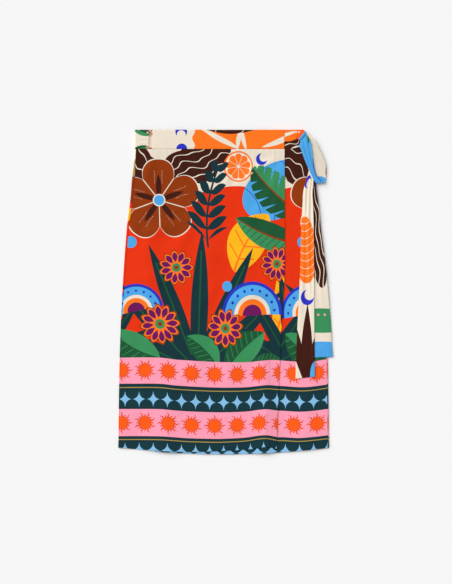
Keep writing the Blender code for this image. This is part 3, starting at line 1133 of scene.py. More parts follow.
@dataclass(frozen=True)
class Thread:
    """Spun sewing thread of one colour."""

    name: str
    ink: Ink
    twists: float = 2500.0
    tone_low: float = 0.7
    tone_range: float = 0.6

    def material(self) -> bpy.types.Material:
        """The material, with a fine twist in its tone.

        Returns:
            The material.
        """
        material, wires = new_material(self.name)
        twist = wires.node("TexCoord", {})[3].noise(self.twists)  # over the piece's own coordinates
        spun = {0: self.ink.linear[:3], "Scale": twist * self.tone_range + self.tone_low}
        toned = wires.node("VectorMath", spun, operation="SCALE")[0]
        wires.shade({"Base Color": toned, "Roughness": 0.6, "Specular IOR Level": 0.3})
        return material


SKIRT_FACE = PrintedCloth("skirt print face", SkirtPrint())
SKIRT_REVERSE = PrintedCloth("skirt print reverse", SkirtPrint(), fade=0.32)
BAND_FACE = PrintedCloth("band print", BandPrint())
BAND_DARK = PrintedCloth("band print dark", BandPrint(), shift=(0.0, -66.0))
TIE_FACE = PrintedCloth("tie print", TiePrint())


# --- Cloth as a thin shell ---


EDGE_AT = (0.0, 0.12, 0.4)  # how far in the rings of points lie that round a cloth's edge
EDGE_FULL = (0.4, 0.8, 1.0)  # how thick the cloth is there, as a share
EDGE_SPAN = 0.45  # which share of a path's first and last steps those rings take


def steps(count: int, length: float) -> Array:
    """Shares from 0 to 1 with a few more at each end, where the cloth's edge is rounded.

    Args:
        count: how many even steps.
        length: the real length that the shares stand for.

    Returns:
        The rising shares.
    """
    near = np.array(EDGE_AT) / length
    inner = np.linspace(near[-1], 1 - near[-1], count + 1)
    return np.concatenate([near[:-1], inner, 1 - near[-2::-1]])


def edge_shares(count: int) -> Array:
    """How thick the cloth is at each of count steps, as a share, thinner at both ends.

    Args:
        count: how many steps.

    Returns:
        The share at each.
    """
    full = np.ones(count)
    full[: len(EDGE_FULL)] = EDGE_FULL
    full[-len(EDGE_FULL) :] = EDGE_FULL[::-1]
    return full


def add_object(name: str, data: bpy.types.ID) -> Piece:
    """Puts something in the scene.

    Args:
        name: its name.
        data: its mesh, lamp or camera.

    Returns:
        The object.
    """
    made = bpy.data.objects.new(name, data)
    bpy.context.scene.collection.objects.link(made)
    return made


def add_mesh(name: str, places: Array, faces: list, *materials: bpy.types.Material) -> Piece:
    """Puts a smooth mesh in the scene.

    Args:
        name: its name.
        places: its points, in millimetres.
        faces: the points of each face.
        materials: its materials.

    Returns:
        The new object.
    """
    mesh = bpy.data.meshes.new(name)
    mesh.from_pydata((places * MM).tolist(), [], faces)
    mesh.shade_smooth()
    for material in materials:
        mesh.materials.append(material)
    return add_object(name, mesh)


@dataclass
class Shell:
    """A cloth as rows of points on its middle surface, with its wall and its place on the flat cloth."""

    points: Array
    cloth: Array
    wall: Union[float, Array]
    closed: bool = False
    thick: Array = field(init=False)

    def __post_init__(self) -> None:
        """Thins the wall towards its edges."""
        rows, columns = self.points.shape[:2]
        across = np.ones(columns) if self.closed else edge_shares(columns)
        self.thick = self.wall * edge_shares(rows)[:, None] * across

    def normals(self) -> Array:
        """The way out of the upper side, at each point.

        Returns:
            A unit vector for each point.
        """
        if self.closed:
            across = np.roll(self.points, -1, 1) - np.roll(self.points, 1, 1)
        else:
            across = np.gradient(self.points, axis=1)
        out = np.cross(across, np.gradient(self.points, axis=0))
        return out / np.maximum(np.linalg.norm(out, axis=2, keepdims=True), 1e-9)

    def faces(self) -> list:
        """The four corners of each face, upper side, lower side and rim.

        Returns:
            The numbers of each face's points.
        """
        under = self.thick.size
        index = np.arange(under).reshape(self.thick.shape)
        if self.closed:
            index = np.concatenate([index, index[:, :1]], 1)
        corners = index[:-1, :-1], index[:-1, 1:], index[1:, 1:], index[1:, :-1]
        upper = np.stack([part.ravel() for part in corners], 1)
        loops = [index[0], index[-1, ::-1]]
        if not self.closed:
            loops += [index[::-1, 0], index[:, -1]]
        rims = [np.stack([r[1:], r[:-1], r[:-1] + under, r[1:] + under], 1) for r in loops]
        return np.concatenate([upper, upper[:, ::-1] + under, *rims]).tolist()

    def dress(self, name: str, slot: str, rests_on: Sequence[str], *finishes: PrintedCloth) -> Piece:
        """Makes the piece, hides the part that it replaces, and hangs it on the body.

        Args:
            name: the name of the node that it replaces, with cloth_ in front.
            slot: the record's material slot; not used.
            rests_on: the pieces under it; not used.
            finishes: its upper side's, and its lower side's where it has one of its own.

        Returns:
            The piece.
        """
        half = self.normals() * self.thick[..., None] / 2
        places = np.concatenate([(self.points + half).reshape(-1, 3), (self.points - half).reshape(-1, 3)])
        piece = add_mesh(name, places, self.faces(), *(finish.material() for finish in finishes))
        mesh = piece.data
        corner = np.zeros(len(mesh.loops), np.int32)
        mesh.loops.foreach_get("vertex_index", corner)
        flat = self.cloth.reshape(-1, 2) * MM
        where = flat[corner % len(flat)].astype(np.float32)
        mesh.uv_layers.new(name=CLOTH_MAP).data.foreach_set("uv", where.ravel())
        if len(finishes) > 1:
            side = np.zeros(len(mesh.polygons), np.int32)
            count = (self.thick.shape[0] - 1) * (self.thick.shape[1] - 1)
            side[count : 2 * count] = 1
            mesh.polygons.foreach_set("material_index", side)
        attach(piece, BODY)
        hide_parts(name.removeprefix("cloth_"))
        lengths = (np.linalg.norm(np.diff(self.points, axis=n), axis=2).sum(n) for n in (1, 0))
        across, along = (length.max() * MM for length in lengths)
        return piece

    def on_top(self, row: Union[float, Array], column: Union[float, Array]) -> list[Array]:
        """Points on the upper side and the way out there, between the rows and columns.

        Args:
            row: places in rows, with fractions.
            column: places in columns, with fractions.

        Returns:
            The points and the unit ways out.
        """
        row, column = np.broadcast_arrays(row, column)
        r = np.clip(row.astype(int), 0, self.thick.shape[0] - 2)
        c = np.clip(column.astype(int), 0, self.thick.shape[1] - 2)
        fr, fc = (row - r)[:, None], (column - c)[:, None]
        out, made = self.normals(), []
        for grid in (self.points + out * self.thick[..., None] / 2, out):
            low, high = (grid[n, c] * (1 - fc) + grid[n, c + 1] * fc for n in (r, r + 1))
            made.append(low * (1 - fr) + high * fr)
        return made


# --- Stitches ---


class Seam(Enum):
    """The sorts of topstitching, each with its thread's colour."""

    HEMS = Ink.TEAL
    FACING = Ink.DARK_BROWN


@dataclass
class Stitching:
    """Rows of small raised stitches, joined into one mesh for each sort."""

    length: float = 2.3
    pitch: float = 3.1
    half: float = 0.26
    flat: float = 0.8
    sunk: float = 0.35  # how far its ends dip into the cloth
    sides: int = 6
    ends: Rows = ((0.0, 0.25), (0.2, 1.0), (0.8, 1.0), (1.0, 0.25))  # its size at shares of its length
    shapes: dict[Seam, list[Array]] = field(default_factory=dict)

    def row(self, seam: Seam, points: Array, out: Array) -> None:
        """Adds a row of stitches.

        Args:
            seam: its sort.
            points: the line that they follow, on the cloth.
            out: the way out of the cloth along it.
        """
        run = runs(points)
        starts = np.arange(self.pitch / 2, run[-1] - self.length, self.pitch)

        def at(distance: Array, grid: Array) -> Array:
            """What a grid along the line has at distances."""
            return np.stack([np.interp(distance, run, part) for part in grid.T], 1)

        first, last, up = at(starts, points), at(starts + self.length, points), at(starts, out)
        along = last - first
        side = np.cross(up, along)
        side /= np.linalg.norm(side, axis=1, keepdims=True)
        rings = []
        for share, size in self.ends:
            middle = first + along * share - up * self.half * self.sunk * (1 - size)
            for n in range(self.sides):
                turn = 2 * math.pi * n / self.sides
                spoke = side * math.cos(turn) + up * math.sin(turn) * self.flat
                rings.append(middle + size * self.half * spoke)
        self.shapes.setdefault(seam, []).append(np.stack(rings, 1))

    def build(self) -> list[Piece]:
        """Makes one mesh for each sort of seam.

        Returns:
            The meshes.
        """
        count, last = self.sides, (len(self.ends) - 1) * self.sides
        tube = [
            (low + n, low + (n + 1) % count, low + count + (n + 1) % count, low + count + n)
            for low in range(0, last, count)
            for n in range(count)
        ]
        shape = [*tube, tuple(range(count))[::-1], tuple(range(last, last + count))]
        made = []
        for seam, rows in self.shapes.items():
            places, sort = np.concatenate(rows), seam.name.lower()
            bases = range(0, places.shape[0] * places.shape[1], places.shape[1])
            faces = [tuple(base + n for n in face) for base in bases for face in shape]
            thread = Thread(f"thread for {sort}", seam.value).material()
            piece = add_mesh(f"stitches_{sort}", places.reshape(-1, 3), faces, thread)
            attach(piece, BODY)
            made.append(piece)
            log.info("%s: %d stitches", piece.name, len(places))
        return made


# --- The panels ---


@dataclass(frozen=True)
class Hang:
    """Where a panel's points lie on the flat cloth: the print sags where folds take up length."""

    across: Curve
    high: Curve
    low: Curve
    corner_y: float = -342.2
    high_y: float = -143.0
    low_y: float = -320.0
    fade_y: float = 60.0

    def __call__(self, x: Array, y: Array) -> Array:
        """Places on the flat cloth, in millimetres from the centre line and the hem's corner.

        Args:
            x: places across the skirt.
            y: places along it.

        Returns:
            The flat place of each.
        """
        lower = np.clip((y - self.high_y) / (self.low_y - self.high_y), 0, 1)
        sag = mix(self.high(x), self.low(x), lower) * ease((self.fade_y - y) / (self.fade_y - self.high_y))
        return together(self.across(x), y - self.corner_y + sag)


OVER_HANG = Hang(
    Curve((-240, 0, 60, 90, 124, 140), (-240, 0, 63, 95, 131, 148)),
    Curve((-232, -140, -106, -77, -27, 18, 55, 100, 124), (0, 0, 4.2, 6.2, 9.3, 10.5, 10.3, 5.7, 6.4)),
    Curve((-232, -140, -107, -78, -28, -4, 47, 91, 117), (0, 0, 2.2, 4.4, 5.7, 5.7, 3.1, -2.9, 1.5)),
)
UNDER_HANG = Hang(
    Curve((-200, 240), (-119.2, 320.8)),
    Curve((126, 172, 194, 230), (6.4, 9.9, 9.0, 3.1)),
    Curve((-40, 60, 124, 164, 197, 230), (7.0, 6.0, 2.2, 4.0, 1.5, -2.2)),
)

OVER_EDGE = Curve((0, 222, 300, 400, 480, 656), (134.0, 135.0, 133.0, 127.0, 123.5, 116.4))
OVER_HEM = Curve((-231.7, -160, -80, 0, 62, 94, 118), (0.0, 5.5, 9.2, 6.8, 2.9, -2.0, 2.4))

WAIST_PULLS = (
    (128, 300, 26, 232, 9, 2.0, 4), (130, 286, 62, 158, 10, 1.9, -5), (131, 254, 100, 104, 9, 1.1, 5),
    (22, 302, 2, 206, 9, 1.8, 3), (-30, 306, -48, 238, 8, 1.5, -3), (-62, 304, -56, 262, 5, 0.8, 2),
    (-94, 305, -84, 244, 8, 1.4, 2), (-150, 306, -172, 228, 10, 1.6, 4), (66, 304, 50, 232, 7, 1.2, -2),
)  # fmt: skip
BODY_CREASES = (
    (-208, 128, -84, 156, 13, 2.2, 7), (-198, 34, -66, 4, 14, 2.0, -6), (-44, 100, 76, 64, 15, 2.0, 7),
    (-14, -30, 122, 4, 13, 1.9, -6), (-186, -104, -64, -72, 13, 1.6, 5), (-60, 214, -128, 34, 16, 1.8, -9),
    (40, 196, 112, 30, 12, 1.9, 8), (-10, 22, -86, -96, 13, 1.5, 6), (104, -54, 82, -214, 10, 1.5, 4),
    (-214, 266, -224, 50, 9, 1.4, 3), (-178, 186, -206, 78, 11, 1.2, 4),
)  # fmt: skip
SWELLS = (
    (-150, 160, -172, -60, 28, 2.6, 14), (-52, 196, -40, -30, 30, 2.4, -16),
    (40, 170, 76, -90, 26, 2.6, 12), (-88, -30, -66, -240, 28, 2.3, -8),
    (12, -50, 30, -250, 24, 2.2, 8), (-196, -120, -180, -290, 18, 1.8, -5),
)  # fmt: skip
UNDER_CREASES = (
    (150, 292, 164, 214, 6, 0.5, 2), (206, 210, 212, 60, 6, 0.6, -2), (146, 60, 150, -120, 6, 0.5, 2),
    (212, -30, 220, -200, 7, 0.6, 2),
)  # fmt: skip


@dataclass
class FrontPanel:
    """A front panel between two edges, with its hem, its facing and its creases."""

    form: Form
    stitching: Stitching
    name: str
    left: Callable[[Array], Array]
    right: Callable[[Array], Array]
    hem_drop: Callable[[Array], Array]
    height: Rest
    hang: Hang
    creases: Rows
    rests_on: tuple[str, ...]
    faced: bool = False
    pitch: float = 3.2
    facing: float = 22.0
    thin_out: float = 1.2  # over how much the doubled cloth ends
    hem_stitch: float = 1.5  # how far its stitches lie from there
    pucker: float = 0.28  # the small waves along the waist seam
    pucker_wave: tuple[float, float, float] = (0.47, 1.3, 0.11)
    pucker_fade: float = 13.0

    def shell(self) -> Shell:
        """The panel's middle surface, thicker where the cloth is doubled.

        Returns:
            The panel's shell.
        """
        form = self.form
        rows = steps(round(form.body / self.pitch), form.body)
        width = float(self.right(form.body) - self.left(form.body))
        across = steps(round(width / self.pitch), width)
        down = (1 - rows)[:, None]
        drop = down * form.body
        x = mix(self.left(drop), self.right(drop), across)
        y = form.waist_y - form.seam / 2 - down * (form.body + self.hem_drop(x))
        pucker = self.pucker * bent_wave(x, x, *self.pucker_wave) * np.exp(-drop / self.pucker_fade)
        z = self.height(x, y) + creased(self.creases, x, y) + pucker
        double = ease((form.hem - (1 - down) * form.body) / self.thin_out + 1)
        if self.faced:
            double = np.maximum(double, ease((self.facing - (self.right(drop) - x)) / self.thin_out + 1))
        return Shell(together(x, y, z), self.hang(x, y), form.cloth + form.doubled * double)

    def build(self) -> Piece:
        """Makes the panel and adds its rows of stitches.

        Returns:
            The panel.
        """
        shell = self.shell()
        inner = len(EDGE_AT) - 1
        rows, columns = (np.arange(inner, count - inner, dtype=float) for count in shell.thick.shape)
        hem_row = inner + (self.form.hem - self.hem_stitch) / self.pitch
        self.stitching.row(Seam.HEMS, *shell.on_top(hem_row, columns))
        if self.faced:
            self.stitching.row(Seam.FACING, *shell.on_top(rows, columns[-1] - self.facing / self.pitch))
        return shell.dress(self.name, "panel_cloth", self.rests_on, SKIRT_FACE, SKIRT_REVERSE)


@dataclass
class FrontPanels:
    """The under front and the over front, with their stitches."""

    form: Form
    stitching: Stitching

    def build(self) -> list[Piece]:
        """Makes both, the under one first.

        Returns:
            The two panels.
        """
        form = self.form
        under = FrontPanel(
            form,
            self.stitching,
            "cloth_front_under",
            left=lambda drop: form.under_edge_x + 0 * drop,
            right=lambda drop: RIGHT_SIDE(drop) - form.right_turn - form.seam,
            hem_drop=form.under_hem,
            height=form.front_height,
            hang=UNDER_HANG,
            creases=UNDER_CREASES,
            rests_on=("back_panel",),
        )
        over = FrontPanel(
            form,
            self.stitching,
            "cloth_front_over",
            left=lambda drop: SIDE_TURN(drop) + form.seam - LEFT_SIDE(drop),
            right=OVER_EDGE,
            hem_drop=OVER_HEM,
            height=form.over_height,
            hang=OVER_HANG,
            creases=WAIST_PULLS + BODY_CREASES + SWELLS,
            rests_on=("front_under", "back_panel"),
            faced=True,
        )
        return [under.build(), over.build()]


def rimmed(path: Array, shares: Sequence[float]) -> Array:
    """A path with close points at both ends, at shares of its first and its last step."""
    near = np.array(shares)[:, None]
    return np.concatenate([mix(path[0], path[1], near), path[1:-1], mix(path[-1], path[-2], near[::-1])])


def refined(path: Array, pitch: float) -> Array:
    """A path with more points on its straight runs, and close ones at both ends.

    Args:
        path: its points, one a row.
        pitch: the longest step.

    Returns:
        The denser path.
    """
    parts = [path[:1]]
    for start, end in zip(path[:-1], path[1:]):
        count = max(1, math.ceil(np.linalg.norm(end - start) / pitch))
        parts.append(mix(start, end, np.arange(1, count + 1)[:, None] / count))
    return rimmed(np.concatenate(parts), np.array(EDGE_AT) / EDGE_AT[-1] * EDGE_SPAN)


@dataclass(frozen=True)
class Fold:
    """A strip seen end on: along the bottom, round both sides, and back over the top to its two ends."""

    left_end: float
    left: float
    right: float
    right_end: float
    low: float
    high_left: float
    high_right: float
    bends: int = 12

    def bend(self, middle: float, half: float, turns: tuple[float, float]) -> Array:
        """A half circle's points from one turn to another, counted in half circles."""
        turn = np.linspace(*turns, self.bends + 1) * math.pi
        return np.stack([middle + half * np.cos(turn), self.low + half + half * np.sin(turn)], 1)

    def path(self, columns: int) -> Array:
        """The strip's middle line in X and Z, with so many steps along the bottom.

        Args:
            columns: how many steps.

        Returns:
            The points in their order.
        """
        start, end = (self.high_left - self.low) / 2, (self.high_right - self.low) / 2
        left = self.bend(self.left + start, start, (0.5, 1.5))
        right = self.bend(self.right - end, end, (-0.5, 0.5))
        bottom = np.linspace(left[-1], right[0], columns + 1)[1:-1]
        ends = np.array([[self.left_end, self.high_left], [self.right_end, self.high_right]])
        return np.concatenate([ends[:1], left, bottom, right, ends[1:]])


@dataclass
class BackPanel:
    """The back, which lies on the floor and turns over both sides to its side seams."""

    form: Form
    pitch: float = 3.2
    columns: int = 116
    clear: float = 0.15  # over the floor
    turned: tuple[float, float, float] = (0.0, 0.25, 0.6)  # where its turned edges have close points

    def shell(self) -> Shell:
        """The panel row by row, from the hem up.

        Returns:
            The panel's shell.
        """
        form = self.form
        downs = 1 - steps(round(form.body / self.pitch), form.body)
        points, cloth = [], []
        for down in downs:
            drop = down * form.body
            left, right = -LEFT_SIDE(drop), RIGHT_SIDE(drop)
            y = form.waist_y - form.seam / 2 - drop
            fold = Fold(
                left + SIDE_TURN(drop),
                left + form.panel_wall / 2,
                right - form.panel_wall / 2,
                right - form.right_turn,
                form.cloth / 2 + self.clear + form.back_climb * form.climb(y),
                form.front_height(left, y),
                form.front_height(right, y),
            )
            path = rimmed(fold.path(self.columns), self.turned)
            ys = y - down * form.back_bow * form.under_hem(path[:, 0])
            points.append(together(path[:, 0], ys, path[:, 1]))
            run = runs(path)
            cloth.append(together(run[-1] / 2 - run, ys - OVER_HANG.corner_y))
        in_hem = ((1 - downs) * form.body < form.hem)[:, None]
        wall = np.where(in_hem, form.cloth + form.doubled, form.cloth)
        return Shell(np.array(points), np.array(cloth), wall)

    def build(self) -> list[Piece]:
        """Makes the back panel."""
        return [self.shell().dress("cloth_back_panel", "panel_cloth", (), SKIRT_REVERSE, SKIRT_FACE)]


# --- The waistband and the tie ---


BAND_CREASES = (
    (128, 336, 84, 331, 4, 0.5, 1), (130, 346, 96, 350, 4, 0.45, -1), (-40, 341, 68, 341, 5, 0.35, -4),
    (-150, 334, -120, 338, 4, 0.35, 1),
)  # fmt: skip
WRAP_CREASES = (
    (-190, 326, -162, 330, 2.4, 0.6, 0.6), (-190, 336, -160, 337, 2.6, 0.7, -0.5),
    (-190, 347, -163, 344, 2.2, 0.5, 0.4),
)  # fmt: skip


@dataclass
class Waistbands:
    """The back waistband, turned over the left side up to the slit, and the two front ones."""

    form: Form
    slit_left_x: float = -165.0
    slit_right_x: float = -156.0
    over_end_x: float = 133.5
    dip_x: float = 15.5
    dip_half: float = 57.0
    dip: float = 9.5
    dip_hidden: float = 2.0
    dip_round: float = 1.3
    wall: float = 1.15
    plump: float = 0.12
    pitch: float = 2.6
    back_pitch: float = 4.0
    back_columns: int = 100
    under_inset: float = 1.0

    @property
    def back_z(self) -> float:
        """The middle of the back waistband."""
        return self.form.tie_wall + self.form.seam + self.form.band_wall / 2

    @property
    def layer(self) -> float:
        """From one waistband to the next above it."""
        return self.form.band_wall + self.form.seam

    def band(
        self, name: str, below: str, x: Array, top: Array, z: Array, finish: PrintedCloth, creases: Rows = ()
    ) -> Piece:
        """A band between the waist seam and its top edge.

        Args:
            name: its name.
            below: the piece that it rests on.
            x: across, one for each column.
            top: the top edge's Y at each.
            z: the middle's height at each.
            finish: its cloth.
            creases: its creases.

        Returns:
            The band.
        """
        form = self.form
        rows = steps(round(form.band_height / self.pitch), form.band_height)[:, None]
        y = mix(form.waist_y + form.seam / 2, top, rows)
        height = z + creased(creases, x, y) + self.plump * np.sin(np.pi * rows) ** 0.5
        shell = Shell(together(x, y, height), together(x, mix(0, form.band_height, rows)), self.wall)
        return shell.dress(name, "band_cloth", (below,), finish)

    def front(self, left: float, right: float, deeper: float = 0.0) -> tuple[Array, Array]:
        """The columns of a front waistband and its top edge, which sags below the back one.

        Args:
            left: where it starts.
            right: where it ends.
            deeper: how much more it sags than the over front's.

        Returns:
            X at each column, and the top edge's Y.
        """
        x = mix(left, right, steps(round((right - left) / self.pitch), right - left))
        share = (x - self.dip_x) / self.dip_half
        return x, self.form.top_y - (self.dip + deeper) * np.maximum(0.0, 1 - share * share) ** self.dip_round

    def build(self) -> list[Piece]:
        """Makes the three bands, the back one first.

        Returns:
            The three bands.
        """
        form = self.form
        half, turned = form.band_wall / 2, RIGHT_SIDE.values[0] - form.right_turn
        under_z, over_z = self.back_z + self.layer, self.back_z + 2 * self.layer
        sides = half - LEFT_SIDE.values[0], RIGHT_SIDE.values[0] - half
        fold = Fold(self.slit_left_x, *sides, turned, self.back_z, under_z, under_z)
        path = refined(fold.path(self.back_columns), self.back_pitch)
        under = self.front(form.under_edge_x + self.under_inset, turned - form.seam, self.dip_hidden)
        over = self.front(self.slit_right_x, self.over_end_x)
        return [
            self.band("cloth_band_back", "cloth_tie_wrap", path[:, 0], form.top_y, path[:, 1], BAND_DARK),
            self.band("cloth_band_under", "cloth_band_back", *under, under_z, BAND_DARK),
            self.band("cloth_band_over", "cloth_band_back", *over, over_z, BAND_FACE, BAND_CREASES),
        ]


# the sections of each ribbon: its left edge's X, Y and height, its right edge's, and its gathers' depth
BOW = (
    (166.0, 321.6, 13.0, 190.5, 330.4, 12.6, 0.5), (170.7, 309.5, 12.4, 193.6, 312.8, 11.6, 0.5),
    (177.3, 290.8, 11.8, 195.8, 294.1, 10.8, 0.4), (185.7, 271.5, 11.0, 198.5, 274.3, 10.2, 0.3),
    (193.8, 254.5, 10.0, 204.0, 256.7, 9.0, 0.2), (198.9, 244.4, 8.8, 213.2, 244.9, 7.6, 0.0),
    (203.4, 238.9, 7.2, 222.0, 240.7, 5.8, 0.0), (202.2, 244.4, 5.6, 223.8, 244.8, 3.8, 0.0),
    (195.8, 265.5, 7.4, 225.3, 265.5, 3.6, 0.0), (190.1, 285.3, 8.2, 223.5, 284.2, 4.4, 0.0),
    (183.5, 305.1, 10.0, 213.2, 307.3, 6.9, 0.0), (174.6, 323.4, 11.0, 197.6, 335.0, 9.9, 0.0),
)  # fmt: skip
TAIL_FRONT = (
    (173.6, 319.3, 2.4, 190.1, 327.1, 2.0, 0.0), (180.2, 296.3, 1.2, 196.7, 298.5, 0.9, 0.0),
    (187.0, 272.1, 0.6, 200.0, 272.1, 0.4, 0.0), (182.6, 249.0, 0.2, 197.8, 249.0, 0.2, 0.25),
    (175.3, 222.0, 0.0, 195.2, 219.3, 0.0, 0.55), (173.4, 190.7, 0.0, 196.4, 190.7, 0.0, 0.7),
    (170.3, 135.7, 0.0, 198.0, 135.7, 0.0, 0.65), (168.3, 50.4, 0.0, 198.7, 50.4, 0.0, 0.6),
    (165.0, -21.3, 0.0, 199.1, -21.3, 0.0, 0.3), (161.5, -88.7, 0.0, 199.5, -88.7, 0.0, 0.1),
    (159.1, -151.4, 0.0, 200.2, -151.4, 0.0, 0.0), (158.2, -190.5, 0.0, 200.6, -185.9, 0.0, 0.0),
)  # fmt: skip
TAIL_BACK = (
    (174.7, 319.8, 2.3, 192.3, 328.2, 1.7, 0.0), (181.3, 296.3, 1.0, 201.1, 298.5, 0.6, 0.0),
    (185.7, 272.1, 0.4, 203.3, 272.1, 0.2, 0.0), (183.5, 245.7, 0.1, 202.4, 245.7, 0.1, 0.2),
    (180.2, 217.1, 0.0, 205.3, 217.1, 0.0, 0.5), (181.3, 181.9, 0.0, 209.7, 181.9, 0.0, 0.7),
    (185.7, 135.7, 0.0, 214.1, 135.7, 0.0, 0.6), (190.1, 46.0, 0.0, 225.5, 46.0, 0.0, 0.4),
    (194.5, -66.2, 0.0, 235.6, -66.2, 0.0, 0.1), (197.1, -115.0, 0.0, 237.8, -115.0, 0.0, 0.0),
    (197.6, -144.3, 0.0, 240.5, -141.9, 0.0, 0.0),
)  # fmt: skip
LEFT_X, EDGE_Y, GATHER = 0, 1, 6  # columns of those


@dataclass
class Ribbon:
    """A stretch of the tie on smooth curves through its sections' edges, above what it lies on."""

    name: str
    sections: Rows
    rest: Rest
    start: float  # where it begins on its print
    length_steps: int
    rests_on: tuple[str, ...]
    wall: float = 0.6
    width: float = 40.0
    gathers: float = 2.5
    columns: int = 26
    section_step: float = 24.0
    stray: float = 0.35  # how far the gathers wander and change along it
    stray_runs: tuple[float, float] = (31.0, 13.0)
    stray_share: float = 0.6  # the quick wandering's, of the slow one's
    finish: PrintedCloth = TIE_FACE
    middle: float = 0.5  # which share of its width lies on its print's X axis

    def build(self) -> Piece:
        """Makes the ribbon.

        Returns:
            The ribbon.
        """
        last = len(self.sections) - 1
        at = steps(self.length_steps, self.section_step * last) * last
        edges = [Curve(range(last + 1), column)(at)[:, None] for column in zip(*self.sections)]
        left, right, gather = np.array(edges[:3]), np.array(edges[3:6]), edges[6]
        across = steps(self.columns, self.width)
        x, y, z = (mix(one, other, across) for one, other in zip(left, right))
        run = runs(np.concatenate(list((left + right) / 2), 1))[:, None]
        slow, quick = (run / length for length in self.stray_runs)
        drift = self.stray * np.sin(slow + self.start) + self.stray_share * self.stray * np.sin(quick)
        wave = gather * (1 - np.cos(2 * np.pi * self.gathers * across + drift * np.sin(np.pi * across)))
        cloth = together(self.start + run, (across - self.middle) * self.width)
        shell = Shell(together(x, y, self.rest(x, y) + z + wave), cloth, self.wall)
        return shell.dress(self.name, "tie_cloth", self.rests_on, self.finish)


